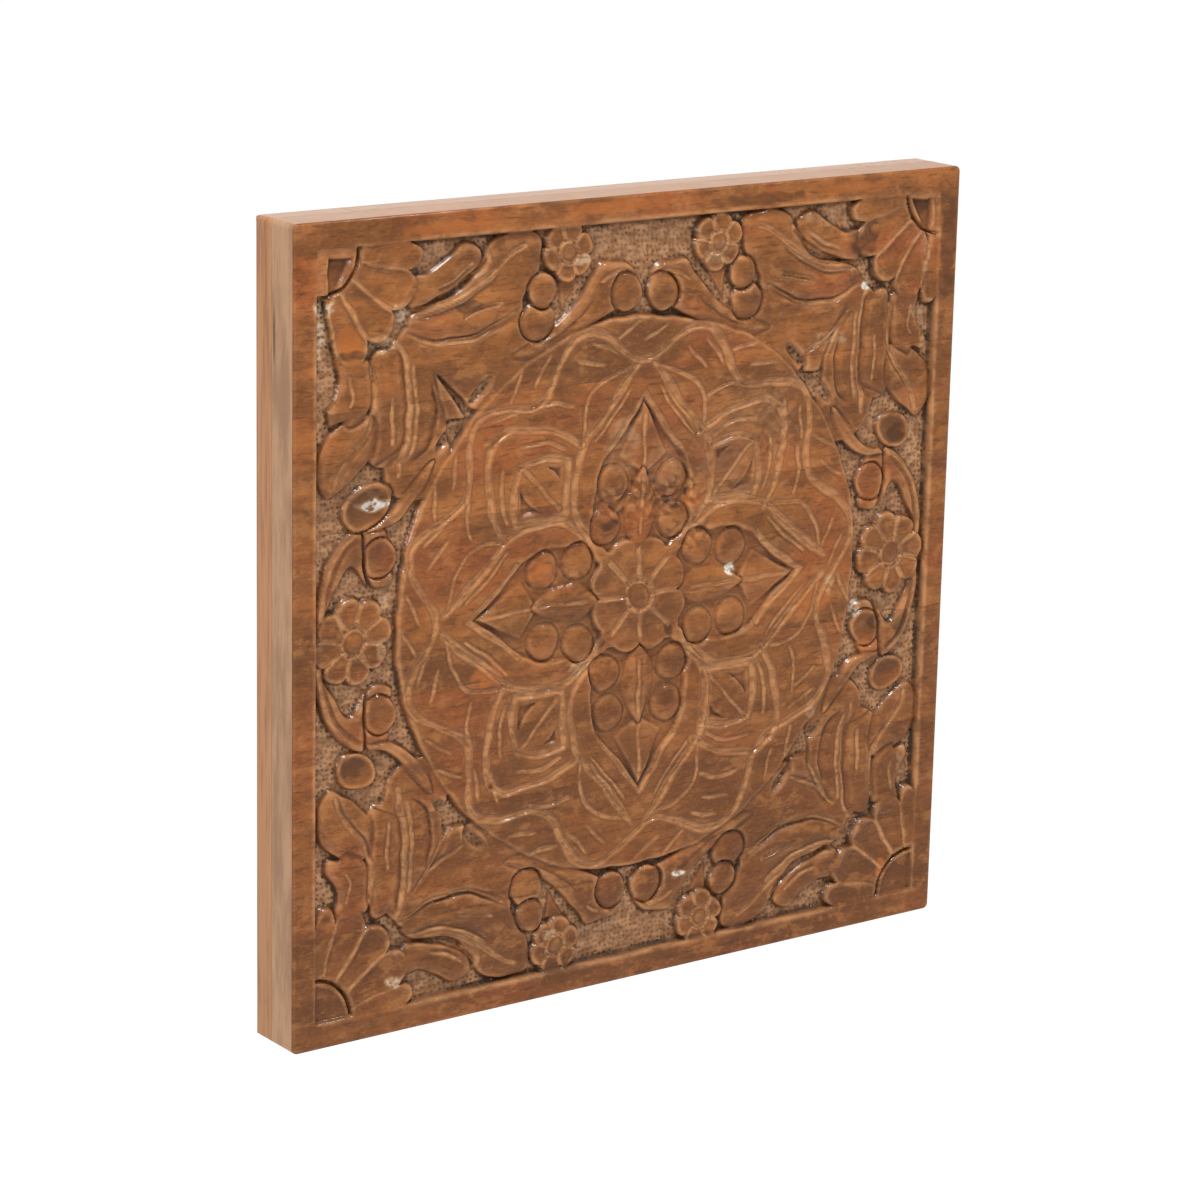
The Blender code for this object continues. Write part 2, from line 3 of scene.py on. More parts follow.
import bpy
import numpy as np
from mathutils import Matrix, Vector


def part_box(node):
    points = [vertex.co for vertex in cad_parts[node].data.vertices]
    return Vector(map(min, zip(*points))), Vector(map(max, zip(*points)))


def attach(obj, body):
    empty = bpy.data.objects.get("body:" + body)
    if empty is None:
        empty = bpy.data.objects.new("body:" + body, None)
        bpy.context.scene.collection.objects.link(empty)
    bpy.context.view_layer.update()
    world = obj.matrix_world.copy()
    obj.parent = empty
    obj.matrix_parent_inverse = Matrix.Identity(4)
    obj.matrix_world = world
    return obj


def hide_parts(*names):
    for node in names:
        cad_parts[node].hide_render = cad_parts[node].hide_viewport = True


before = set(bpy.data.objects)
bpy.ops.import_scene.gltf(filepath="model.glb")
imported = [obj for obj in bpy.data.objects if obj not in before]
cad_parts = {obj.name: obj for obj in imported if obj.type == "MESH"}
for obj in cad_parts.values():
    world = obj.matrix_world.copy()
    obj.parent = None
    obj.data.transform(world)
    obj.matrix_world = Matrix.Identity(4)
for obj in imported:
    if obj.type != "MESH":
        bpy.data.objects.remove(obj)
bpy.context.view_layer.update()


# The carved boards. Six boards are glued edge to edge, planed and carved as one slab, with their grain
# running across the panel. Cuts made with a gouge show lighter wood, the sunk ground is punched all
# over, and a satin lacquer covers everything. The slab is glued to the battens behind it.

MM = 0.001
FAR = 1.0
low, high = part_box("carved_panel")
SIDE = high.x - low.x
CENTRE_Z = (low.z + high.z) / 2
FRONT_Y, BACK_Y = low.y, high.y

# The boards from the top down: their joints in millimetres, and their tones, where 1 is the lightest
BOARD_JOINTS = (90, 148, 231, 292, 345)
BOARD_TONES = (1.0, 0.92, 0.70, 0.48, 0.26, 0.12)

# The grid of the face. Its fine lines along the panel's edges are in millimetres
GRID_STEP = 0.00064
FINE_LINES = (0, 0.12, 0.3, 0.6, 1.0, 1.5)
CURVE_STEPS = 7
SHARP_ANGLE = np.radians(70)
JOINT_EASE = 0.00025
JOINT_GAP = 0.00004
JOINT_DIP = 0.00008
EDGE_START = 0.0002
CORNER_RADIUS = 0.003

# Rim, ground and forms. Heights count from the face of the rim
RIM_WIDTH = 0.0125
FIELD = SIDE / 2 - RIM_WIDTH
GROUND = -0.0042
LEAF_TOP = -0.0010
EDGE_DROP = -0.0023
WALL = 0.0014
SUNK_WALL = 0.0018
MOAT = 0.0012
PETAL_TOP = -0.0006
BERRY_FOOT = -0.0034
BERRY_DOME = 0.0028
POCKET_FLOOR = -0.0034
HEART_FLOOR = -0.0017
RIM_ROUNDING = 0.0012
UNSHADED_TOP = 0.010

# Oval pits beside the leaves of each corner: places in from the corner, half width, width over length
PIT_PLACES = ((0.0915, 0.0765), (0.0725, 0.0965))
PIT_HALF_WIDTH = 0.0036
PIT_SHAPE = 0.35

# The medallion and what lies in it
DISC_RADIUS = 0.1415
DISC_TOP = -0.0009
VINE_RADIUS = 0.1285
VINE_SWING = 0.0098
VINE_WAVES = 11
LEAF_CUT_LENGTH = 0.0185
SUNK = -0.0029
CROSS_SHIFT = 0.0026
CROSS_START = 0.024
KITE_FOOT, KITE_TIP = 0.060, 0.102
FRAME_CORNER = (0.044, 0.0435)
FRAME_SIDE = 0.028
FRAME_BOW = 0.003
LEAF_SIDE_FLOOR = -0.0021

# Flowers and rosettes
CORNER_FLOWER_RADIUS = 0.059
CORNER_HEART_RADIUS = 0.0225
CORNER_PETAL_ENDS = (0, 14, 37, 57, 78, 90)
CORNER_SCOOPS = (0, 0.0015, 0.0018, 0.0017, 0.0002)
ROSETTE_SCOOP = 0.0008
BUTTON_TOP = -0.0003
BUTTON_DOME = 0.0011
SIDE_ROSETTE_RADIUS = 0.0222
SIDE_ROSETTE_OUT = 0.165
SMALL_FLOWER_RADIUS = 0.0155
SMALL_FLOWER_PLACE = (0.0455, 0.1745)
CENTRE_ROSETTE_RADIUS = 0.0305

# Cuts of the gouge: half width and depth
GOUGE = (0.0017, 0.0011)
WIDE_GOUGE = (0.0024, 0.0013)
FINE_GOUGE = (0.0013, 0.0008)
HATCH = (0.0010, 0.0004)

# How far from its line a cut or a form is worked out, and the sizes of an overlap's steep side and of
# the painted shade along it
STROKE_REACH = 0.004
FORM_REACH = 0.003
OVERLAP_TAPER = 0.15
OVERLAP_STEP = 0.0007
OVERLAP_SHADE = 0.0009

# Punch marks, painted shade lines, chips, ripples and the height differences that they are judged by
PUNCH_PITCH = 0.0027
PUNCH_RADIUS = 0.0010
PUNCH_DEPTH = 0.0006
SHADE_LINE = 0.0006
CHIP_DEPTH = 0.0007
TOOL_RIPPLE = 0.0001
STEEP = 0.0018
CREVICE = 0.0006
HOLLOW = 0.0018

# Patches on the face in millimetres: middle across and down from its upper left corner, half width and
# half height, and then their strength
CHIPPED = ((205, 152, 36, 10, 1), (232, 172, 14, 8, 0.8), (152, 186, 18, 6, 0.5), (284, 122, 14, 16, 0.6))
# Pale patches: painted highlights and sheen, with some pale lacquer
GLINTS_AND_PALE_LACQUER = ((17, 41, 6, 5, 0.8), (16.5, 55, 3.5, 9, 0.8), (60, 46, 5, 6, 0.8), (49, 60, 8, 4, 0.7),
         (46, 136, 8, 3, 1), (163, 30, 4, 3, 0.75), (153, 52, 4, 7, 0.3), (341, 57, 3, 3, 1),
         (318, 82, 13, 3, 0.4), (312, 20, 10, 4, 0.25), (377, 74, 6, 4, 0.3), (380, 88, 2.5, 9, 0.45),
         (245, 32, 8, 6, 0.25), (380, 46, 2.5, 14, 0.3), (378, 145, 3, 9, 0.25), (265, 128, 34, 26, 0.1),
         (215, 135, 12, 12, 0.15), (190, 122, 10, 14, 0.25), (259, 194, 4, 3, 1), (323, 210, 3, 5, 0.55),
         (314, 277, 3, 5, 0.4), (343, 226, 3, 5, 0.9), (50, 206, 3, 5, 0.4), (53, 184, 3, 7, 0.5),
         (166, 232, 7, 5, 0.6), (58, 375, 5, 3, 0.8), (231, 350, 4, 2, 0.9),
         (150, 368, 4, 3, 0.7), (378, 315, 4, 12, 0.25))
# Dark patches: real stains, and painted shade in pockets and in the crevices round the middle rosette and
# berries
STAINS_AND_SHADE = ((338, 32, 9, 9, 0.95), (373, 20, 7, 4, 0.8), (183, 162, 5, 3, 1), (222, 156, 6, 2.5, 1),
           (220, 220, 3, 3, 1), (177, 221, 4, 2.5, 1), (219, 252, 6, 7, 0.6), (33, 263, 7, 5, 0.65),
           (366, 137, 6, 5, 0.9), (356, 236, 6, 3, 1), (375, 238, 8, 6, 1), (20, 149, 5, 4, 1),
           (17, 262, 3, 8, 1), (80, 2, 34, 2, 0.3), (270, 8, 30, 3, 0.7), (394, 40, 5, 26, 0.75),
           (40, 35, 9, 3, 0.4), (32, 64, 8, 2, 1), (113, 159, 6, 6, 0.25), (190, 386, 80, 2, 0.7),
           (65, 315, 3, 8, 1), (102, 240, 2, 8, 0.25), (256, 181, 3, 8, 0.3), (98, 46.5, 7, 3, 1))
WARM = ((32, 57, 7, 8, 0.7), (50, 78, 9, 6, 0.3), (85, 8, 26, 3, 0.7), (5, 70, 6, 2.5, 0.3),
        (203, 157, 6, 4, 0.8), (234, 155, 7, 5, 1), (310, 216, 15, 8, 0.6), (350, 248, 9, 4, 0.8),
        (112, 228, 9, 5, 0.9), (340, 36, 5, 4, 0.9), (366, 372, 3, 5, 1), (142, 181, 7, 4, 1),
        (372, 120, 9, 9, 0.3), (180, 5, 30, 3, 0.7), (330, 6, 24, 3, 0.5))

# The dark knot on the left edge, and the tint that the lacquer gives the carved face
KNOT_DOWN, KNOT_FROM_BACK = 0.052, 0.0022
KNOT_REACH = (0.004, 0.0010, 0.014)
LACQUER_TINT = (0.96, 0.875, 0.70, 1.0)


def smooth(share):
    """Run from 0 to 1 with level ends."""
    share = np.clip(share, 0, 1)
    return share * share * (3 - 2 * share)


def smooth_path(points, closed=False):
    """Draw a rounded line through points given in millimetres.

    Each stretch is a cubic, and its slope at a point is half the step from the point before to the next.
    """
    points = np.array(points) * MM
    if closed:
        ring = np.concatenate((points[-1:], points, points[:2]))
    else:
        ring = np.concatenate((2 * points[:1] - points[1:2], points, 2 * points[-1:] - points[-2:-1]))
    t = np.linspace(0, 1, CURVE_STEPS, endpoint=False)[:, None]
    before, start, end, after = (ring[k:len(ring) - 3 + k, None] for k in range(4))
    curve = start + 0.5 * t * (end - before) + t * t * (before - 2.5 * start + 2 * end - 0.5 * after)
    curve = curve + t ** 3 * (1.5 * (start - end) + 0.5 * (after - before))
    last = points[:1] if closed else points[-1:]
    return np.concatenate((curve.reshape(-1, 2), last))


def path_distance(p, q, path, reach):
    """Measure the points near a path: how far off, how far along it as a share, whether inside a closed
    path, and whether on its right hand.
    """
    low, high = path.min(0) - reach, path.max(0) + reach
    near = (p > low[0]) & (p < high[0]) & (q > low[1]) & (q < high[1])
    near_p, near_q = p[near], q[near]
    best = np.full(near_p.shape, FAR)
    way = np.zeros(near_p.shape)
    within = np.zeros(near_p.shape, dtype=bool)
    turned = np.zeros(near_p.shape, dtype=bool)
    for k, (start, end) in enumerate(zip(path[:-1], path[1:])):
        run = end - start
        off_p, off_q = near_p - start[0], near_q - start[1]
        t = np.clip((off_p * run[0] + off_q * run[1]) / max(run @ run, 1e-12), 0, 1)
        gap = np.hypot(off_p - t * run[0], off_q - t * run[1])
        way = np.where(gap < best, (k + t) / (len(path) - 1), way)
        turned = np.where(gap < best, off_q * run[0] > off_p * run[1], turned)
        best = np.minimum(best, gap)
        spans = (start[1] > near_q) != (end[1] > near_q)
        within ^= spans & ((off_p * run[1] < off_q * run[0]) == (run[1] > 0))
    distance, share = np.full(p.shape, FAR), np.zeros(p.shape)
    inside, right_hand = np.zeros(p.shape, dtype=bool), np.zeros(p.shape, dtype=bool)
    distance[near], share[near], inside[near], right_hand[near] = best, way, within, turned
    return distance, share, inside, right_hand


class Relief:
    """The face as a carver works it: masses first, then cuts into them.

    It holds the heights and four shares from 0 to 1: fresh cut wood, painted shade along feet, cuts and
    hollows, sunk ground and punch marks. The worn share, which breaks up the painted shade lines, and the
    width of the hand cuts waver over the face, as products of sine waves.
    """

    def __init__(self, x, z):
        self.x, self.z = x, z
        self.height = np.full(x.shape, GROUND)
        self.cut = np.zeros(x.shape)
        self.dark = np.zeros(x.shape)
        self.ground = np.ones(x.shape)
        self.dented = np.zeros(x.shape)
        waver = np.sin(x / 0.0067 + 3 * np.sin(z / 0.0113)) * np.sin(z / 0.0051)
        self.worn = np.clip(0.55 + 0.6 * waver, 0, 1)
        self.hand = 0.84 + 0.16 * np.sin(x / 0.0093 + 2 * np.sin(z / 0.021)) * np.sin(z / 0.0079 + x / 0.03)

    def lay_over(self, inside, top, wall=WALL, moat=MOAT):
        """Leave a form standing where inside, the distance in from its outline, is positive.

        A form that ends steeply gets a broken line of painted shade along its foot.
        """
        base = np.maximum(np.minimum(self.height, top), GROUND)
        up = base + (top - base) * smooth(inside / wall)
        out = base + (self.height - base) * smooth(-inside / moat)
        self.height = np.where(inside > 0, up, out)
        self.cut = np.where(inside > 0, 0, self.cut)
        self.dark = np.where(inside > 0, 0, self.dark)
        self.ground = np.where(inside > 0, 0, self.ground)
        foot = smooth(1.5 - np.abs(inside - SHADE_LINE) / SHADE_LINE) * smooth((top - base) / STEEP)
        self.dark = np.maximum(self.dark, foot * self.worn)

    def sink(self, inside, floor):
        """Cut down to a floor, with a sloping wall."""
        share = np.clip(inside / SUNK_WALL, 0, 1)
        lower = self.height + (floor - self.height) * share
        self.height = np.where(inside > 0, np.minimum(self.height, lower), self.height)
        self.cut = self.cut * (1 - share)
        self.ground = np.maximum(self.ground, share * (floor == GROUND))

    def gouge(self, off, cut=GOUGE, strength=1.0):
        """Cut a rounded trough along the line where off, the distance to the side, is zero.

        Its floor is light, fresh wood, and a thin line of painted shade runs along both sides.
        """
        half, depth = cut
        bite = strength * smooth(1.3 * (self.hand - np.abs(off) / half))
        self.height = self.height - depth * bite
        self.cut = np.maximum(self.cut, smooth(1.5 * bite))
        beside = 1 - np.abs(np.abs(off) - self.hand * half - SHADE_LINE) / SHADE_LINE
        self.dark = np.maximum(self.dark, 0.75 * strength * smooth(beside))

    def punch(self):
        """Dent the ground all over with a round punch.

        Each cell of a grid gets one blow, at a place in it that is worked out from the cell's number.
        """
        column, row = np.floor(self.x / PUNCH_PITCH), np.floor(self.z / PUNCH_PITCH)
        nearest = np.full(self.x.shape, FAR)
        for across in (-1, 0, 1):
            for up in (-1, 0, 1):
                i, j = column + across, row + up
                shake_x = np.modf(np.abs(np.sin(i * 12.99 + j * 78.23) * 437.58))[0]
                shake_z = np.modf(np.abs(np.sin(i * 39.35 + j * 11.14) * 235.46))[0]
                x, z = (i + 0.2 + 0.6 * shake_x) * PUNCH_PITCH, (j + 0.2 + 0.6 * shake_z) * PUNCH_PITCH
                nearest = np.minimum(nearest, np.hypot(self.x - x, self.z - z))
        dent = np.clip(1 - (nearest / PUNCH_RADIUS) ** 2, 0, 1)
        self.height = self.height - PUNCH_DEPTH * dent * self.ground
        self.dented = dent * self.ground


def stroke(relief, p, q, points, cut=GOUGE, taper=0.12):
    """Cut along a rounded line; the cut runs out over a share of its length, the taper, at both ends."""
    distance, share, _, _ = path_distance(p, q, smooth_path(points), STROKE_REACH)
    ends = np.clip(np.minimum(share, 1 - share) / taper, 0, 1) ** 0.5 if taper else 1.0
    relief.gouge(distance, cut, ends)


def overlap(relief, p, q, points, drop, run):
    """Cut down beside a rounded line and ease back up, so that its left side lies over the right.

    The right side is lowered by drop * (1 - distance / run) ** 1.5, and the left only within a narrow step.
    """
    distance, share, _, right_hand = path_distance(p, q, smooth_path(points), run)
    ends = np.clip(np.minimum(share, 1 - share) / OVERLAP_TAPER, 0, 1) ** 0.5
    eased = np.clip(1 - distance / run, 0, 1) ** 1.5
    fall = np.where(right_hand, eased, np.clip(1 - distance / OVERLAP_STEP, 0, 1))
    relief.height = relief.height - drop * ends * fall
    # Painted shade along the line where the step drops
    relief.dark = np.maximum(relief.dark, 0.7 * ends * np.clip(1 - distance / OVERLAP_SHADE, 0, 1))


def leaf(relief, p, q, outline, top=LEAF_TOP, crown=0.0045):
    """Lay a pillowed leaf inside a rounded outline."""
    distance, _, within, _ = path_distance(p, q, smooth_path(outline, closed=True), FORM_REACH)
    inside = np.where(within, distance, -distance)
    relief.lay_over(inside, EDGE_DROP + (top - EDGE_DROP) * smooth(inside / crown))


def blade(relief, p, q, line, width):
    """Lay a pointed leaf along a rounded line, widest a little before its middle."""
    full = width * MM
    distance, share, _, _ = path_distance(p, q, smooth_path(line), full / 2 + FORM_REACH)
    half = full / 2 * np.sin(np.pi * share ** 0.8) ** 0.7
    inside = half - distance
    crown = smooth(1.5 * np.clip(inside / np.maximum(half, 1e-5), 0, 1))
    relief.lay_over(inside, EDGE_DROP + (LEAF_TOP - EDGE_DROP) * crown)


def berry(relief, p, q, at, radius, stretch=1.0, turn=0.0, hollow=0.0, ring=False):
    """Lay a domed berry, or a cup where hollow spoons its middle out.

    Its outline is an ellipse when stretch isn't 1. Where ring is true, worn wood runs round it.
    """
    dp, dq = p - at[0] * MM, q - at[1] * MM
    radius = radius * MM
    along = dp * np.cos(turn) + dq * np.sin(turn)
    across = (dq * np.cos(turn) - dp * np.sin(turn)) * stretch
    out = np.hypot(along, across)
    dome = np.sqrt(np.clip(1 - (out / radius) ** 2, 0, 1))
    relief.lay_over(radius - out, BERRY_FOOT + BERRY_DOME * dome)
    bowl = np.clip(1 - (out / (0.86 * radius)) ** 2, 0, 1)
    relief.height = relief.height - hollow * bowl
    # Painted shade: a hollow's bowl is darkened by its depth
    relief.dark = np.maximum(relief.dark, min(1, hollow / 0.008) * smooth(2 * bowl))
    if ring:
        relief.cut = np.maximum(relief.cut, 0.3 * np.clip(1.2 - np.abs(out - 1.07 * radius) / 0.0009, 0, 1))


def rosette(relief, at, radius, petals, turn, button):
    """Lay a round flower: scooped petals, cuts between them and a domed button.

    Its outline lies at radius * (1 - 0.17 * part ** 3); part is 0 amid a petal and 1 between two.
    """
    dx, dz = relief.x - at[0], relief.z - at[1]
    out = np.hypot(dx, dz)
    part = (np.arctan2(dz, dx) - turn) * petals / (2 * np.pi)
    part = np.abs(part - np.round(part)) * 2
    inside = radius * (1 - 0.17 * part ** 3) - out
    scoop = ROSETTE_SCOOP * np.clip(1 - ((out / radius - 0.66) / 0.36) ** 2, 0, 1) * (1 - part ** 2)
    relief.lay_over(inside, PETAL_TOP - scoop)
    relief.gouge(np.where((inside > 0) & (out > button), (1 - part) * np.pi / petals * out, FAR))
    relief.gouge(np.where(inside > 0, out - 1.12 * button, FAR))
    dome = np.clip(1 - (out / button) ** 2, 0, 1)
    relief.height = np.where(out < button, BUTTON_TOP - BUTTON_DOME * (1 - dome), relief.height)


def rim_fan(relief, p, q):
    """Carve the leaves along the top or bottom rim: p runs from the corner and q away from the rim."""
    leaf(relief, p, q, ((45, 46), (56, 58), (68, 67), (80, 78), (92, 86), (112, 76), (140, 60),
                        (124, 42), (60, 38)), top=-0.0017, crown=0.010)
    leaf(relief, p, q, ((50, 41), (56, 33), (80, 27), (90, 15), (97, 5), (108, 1), (122, 1),
                        (127.5, 6), (126, 18), (121, 27), (116, 34), (115, 41), (104, 46), (88, 50),
                        (70, 49)), top=-0.0012, crown=0.006)
    overlap(relief, p, q, ((50, 43), (63, 48), (76, 49.5), (88, 48.5), (98, 45), (112, 38)), 0.0016, 0.004)
    stroke(relief, p, q, ((50, 43.5), (63, 49.5), (76, 51), (88, 50), (98, 46.5), (111, 39.5)),
           FINE_GOUGE, taper=0.05)
    overlap(relief, p, q, ((102, 35), (91, 37.5), (80, 40.5)), 0.0010, 0.004)
    stroke(relief, p, q, ((82, 39.5), (92, 36.8), (103, 34.5)), FINE_GOUGE)
    overlap(relief, p, q, ((56, 36.5), (68, 36.5), (80, 33.5), (91, 28), (101, 21)), 0.0014, 0.005)
    leaf(relief, p, q, ((49, 16), (62, 15.5), (72, 10.5), (80, 4.5), (86, 4.5), (92, 9), (90, 17),
                        (80, 23), (68, 29), (52, 32)), crown=0.005)
    overlap(relief, p, q, ((52, 31), (66, 30.5), (77, 26.5), (88, 20), (94, 13)), 0.0012, 0.004)
    stroke(relief, p, q, ((94, 8), (95, 14), (91, 19), (83, 22.5), (74, 25.5)), taper=0.06)
    stroke(relief, p, q, ((86, 14.5), (76, 20.5), (66, 24.5)), FINE_GOUGE)
    overlap(relief, p, q, ((66, 25.5), (76, 21.8), (84, 17)), 0.0008, 0.003)
    stroke(relief, p, q, ((53, 32.5), (66, 33), (79, 30), (90, 24.5), (100, 17.5), (108, 12),
                          (118, 7.5)), taper=0.04)
    stroke(relief, p, q, ((53, 35.5), (67, 35.8), (79, 33), (90, 27.5), (99, 21)), FINE_GOUGE, taper=0.1)


def side_fan(relief, p, q):
    """Carve the spray along a side rim, with a long rib: p runs from the corner and q away from the rim."""
    leaf(relief, p, q, ((44, 46), (50, 56), (62, 66), (76, 73), (92, 74), (112, 76), (124, 66),
                        (124, 50), (108, 38), (60, 36)), top=-0.0016, crown=0.008)
    leaf(relief, p, q, ((50, 31), (52, 46), (66, 49), (80, 50), (94, 49), (104, 43), (106, 36),
                        (100, 29), (84, 29)), top=-0.0012, crown=0.005)
    leaf(relief, p, q, ((80, 15), (88, 5), (98, 1), (108, 1.5), (117, 8), (113, 16), (108, 23),
                        (100, 31), (88, 33), (78, 30)), crown=0.005)
    leaf(relief, p, q, ((50, 11), (52, 29), (66, 31), (78, 29), (84, 19), (81, 14), (82, 7), (76, 5),
                        (70, 9), (62, 12)), crown=0.004)
    stroke(relief, p, q, ((56, 30.5), (66, 31.5), (77, 31.5), (87, 27.5), (96, 20), (104, 14),
                          (113, 11)), taper=0.05)
    overlap(relief, p, q, ((113, 12.2), (104, 15.6), (97, 21.5), (87.5, 29), (77, 33)), 0.0009, 0.004)
    stroke(relief, p, q, ((72, 41), (84, 41), (96, 41.5)), FINE_GOUGE)
    overlap(relief, p, q, ((104, 32), (101, 40), (98, 47)), 0.0008, 0.003)
    overlap(relief, p, q, ((106, 47.5), (92, 49.5), (76, 50), (60, 48.5), (50, 46)), 0.0009, 0.004)
    stroke(relief, p, q, ((44, 44), (56, 49.5), (76, 51), (92, 50.5), (103, 47), (112, 46)), taper=0.05)
    stroke(relief, p, q, ((58, 53), (76, 55), (92, 54.5), (104, 51)), FINE_GOUGE, taper=0.1)
    overlap(relief, p, q, ((106, 53), (100, 62), (90, 66), (80, 66.5), (68, 64)), 0.0014, 0.005)
    stroke(relief, p, q, ((58, 17), (68, 19), (74, 17)), FINE_GOUGE)


def facet(relief, p, q, corners, top):
    """Leave a flat piece with straight sides.

    Its corners are in millimetres and run round it from p towards q.
    """
    inside = np.full(p.shape, FAR)
    for start, end in zip(corners, corners[1:] + corners[:1]):
        run_p, run_q = end[0] - start[0], end[1] - start[1]
        off = (q - start[1] * MM) * run_p - (p - start[0] * MM) * run_q
        inside = np.minimum(inside, off / np.hypot(run_p, run_q))
    relief.lay_over(inside, top)


def corner_flower(relief, p, q, top_corner, open_side):
    """Carve the quarter flower in a corner: five petals round a heart with a pocket.

    The two petals along the rims are flat bands, the three between them are scooped. Where open_side is
    true, the last petal is left out. The lower corners have a shallow round heart.
    """
    out, way = np.hypot(p, q), np.arctan2(q, p)
    ends = np.radians(CORNER_PETAL_ENDS)
    number = np.clip(np.searchsorted(ends, way) - 1, 0, len(CORNER_SCOOPS) - 1)
    half = (ends[number + 1] - ends[number]) / 2
    part = np.abs(way - ends[number] - half) / half
    petal = ~(open_side & (number == len(CORNER_SCOOPS) - 1))
    flat = (number == 0) | (number == len(CORNER_SCOOPS) - 1)
    tips = CORNER_FLOWER_RADIUS * (1 - 0.12 * part ** 3)
    inside = np.where(petal, np.minimum(tips - out, out - CORNER_HEART_RADIUS), -FAR)
    beside = (1 - part) * half * out
    along = np.clip((out - 0.024) / 0.030, 0, 1)
    scoop = np.array(CORNER_SCOOPS)[number] * np.sin(np.pi * along) ** 0.6 * smooth(beside / 0.0035)
    relief.lay_over(inside, PETAL_TOP - scoop)
    relief.gouge(np.where((inside > 0) & ~flat, beside, FAR), FINE_GOUGE, 0.8)
    relief.lay_over(CORNER_HEART_RADIUS - out, PETAL_TOP)
    strip = smooth((0.0045 - np.minimum(p, q)) / 0.002)
    relief.cut = np.maximum(relief.cut, 0.42 * strip * (out < CORNER_HEART_RADIUS) * top_corner)
    relief.gouge(np.where(out > CORNER_HEART_RADIUS - 0.0016, out - CORNER_HEART_RADIUS, FAR), FINE_GOUGE)
    wedge = np.minimum(np.minimum(p - 5.5 * MM, q - 3.5 * MM), (22 * MM - p - 0.55 * q) / 1.15)
    pocket = np.where(top_corner, wedge, 21 * MM - out)
    relief.sink(pocket, np.where(top_corner, POCKET_FLOOR, HEART_FLOOR))
    # Painted shade: the pockets of the top corners are darkened a little
    relief.dark = np.maximum(relief.dark, 0.15 * smooth(pocket / 0.002) * top_corner)


def border(relief):
    """Carve everything between the rim and the medallion."""
    p = FIELD - np.abs(relief.x)
    q = FIELD - np.abs(relief.z)
    rim_fan(relief, p, q)
    side_fan(relief, q, p)
    facet(relief, relief.x + FIELD, FIELD - relief.z,
          ((62.5, 59.5), (84.5, 88.5), (69.5, 88), (67, 76)), -0.0006)
    others = np.where((relief.x < 0) & (relief.z > 0), FAR, p)
    facet(relief, others, q, ((60, 60), (72, 67.5), (86, 76), (86, 86), (76, 86), (67.5, 72)), -0.0012)
    for along, across in ((others, q), (q, others)):
        overlap(relief, along, across, ((56, 57), (62, 63), (71, 69.5), (85, 75.5)), 0.0013, 0.004)
        stroke(relief, along, across, ((57, 57), (63, 62.5), (72, 69), (86, 75)), FINE_GOUGE)
    for at_p, at_q in PIT_PLACES:
        across, along = (p - at_p + q - at_q) / 1.414, (p - at_p - q + at_q) / 1.414
        relief.sink(PIT_HALF_WIDTH - np.hypot(across, along * PIT_SHAPE), GROUND)
    corner_flower(relief, p, q, relief.z > 0, (relief.z > 0) & (relief.x < 0))

    leaf(relief, p, q, ((110, 60), (126, 53), (138, 45), (147, 37), (156, 26), (161, 19.5),
                        (170, 19.5), (180, 22), (184, 29), (178, 40), (168, 46), (153, 52), (137, 57),
                        (122, 64)), crown=0.004)
    stroke(relief, p, q, ((160, 30), (166, 26.5), (174, 25.5), (181, 29)), FINE_GOUGE)
    overlap(relief, p, q, ((126, 57), (142, 50), (156, 38)), 0.0008, 0.004)
    facet(relief, p, q, ((136, 27), (149, 26), (138, 43)), -0.0034)
    berry(relief, p, q, (124.2, 45), 10.2)
    berry(relief, p, q, (126.5, 30.5), 9)
    berry(relief, p, q, (176.5, 35.8), 10)

    leaf(relief, p, q, ((25, 131), (29, 137), (28.5, 150), (31, 163), (21, 151), (14, 160), (8, 172),
                        (6, 186), (2, 186), (2, 165), (6, 150), (14, 139)), crown=0.004)
    stroke(relief, p, q, ((25, 134), (14, 143), (7, 156), (4.5, 172), (3, 184)), FINE_GOUGE)
    overlap(relief, p, q, ((26, 137), (17, 144), (10, 156), (7, 170)), 0.0008, 0.004)
    leaf(relief, p, q, ((29, 133), (38, 133), (43, 138), (43.5, 150), (46, 160), (42, 164),
                        (33, 163), (29, 150)), top=-0.0016, crown=0.003)
    blade(relief, p, q, ((66, 106), (56, 120), (44, 131), (28, 135)), 9)
    wide = (relief.x < 0) & (relief.z > 0)
    cup = (np.where(wide, 30.5, 23), 123)
    berry(relief, p, q, cup, np.where(wide, 15, 12.5), stretch=1.35, turn=-0.38, hollow=0.0036)
    berry(relief, p, q, (38, 149), 10, hollow=0.0022)
    flower_x, flower_z = SMALL_FLOWER_PLACE
    for side in (-1, 1):
        rosette(relief, (side * SIDE_ROSETTE_OUT, 0), SIDE_ROSETTE_RADIUS, 8, 0.2, 0.006)
        for end in (-1, 1):
            rosette(relief, (side * flower_x, end * flower_z), SMALL_FLOWER_RADIUS, 6, 0.3, 0.005)


def vine_drift(way):
    """Turn the vine's waves a few degrees, as they were set out by eye."""
    return np.radians(-5.0) - np.radians(6.5) * np.cos(way - np.radians(235))


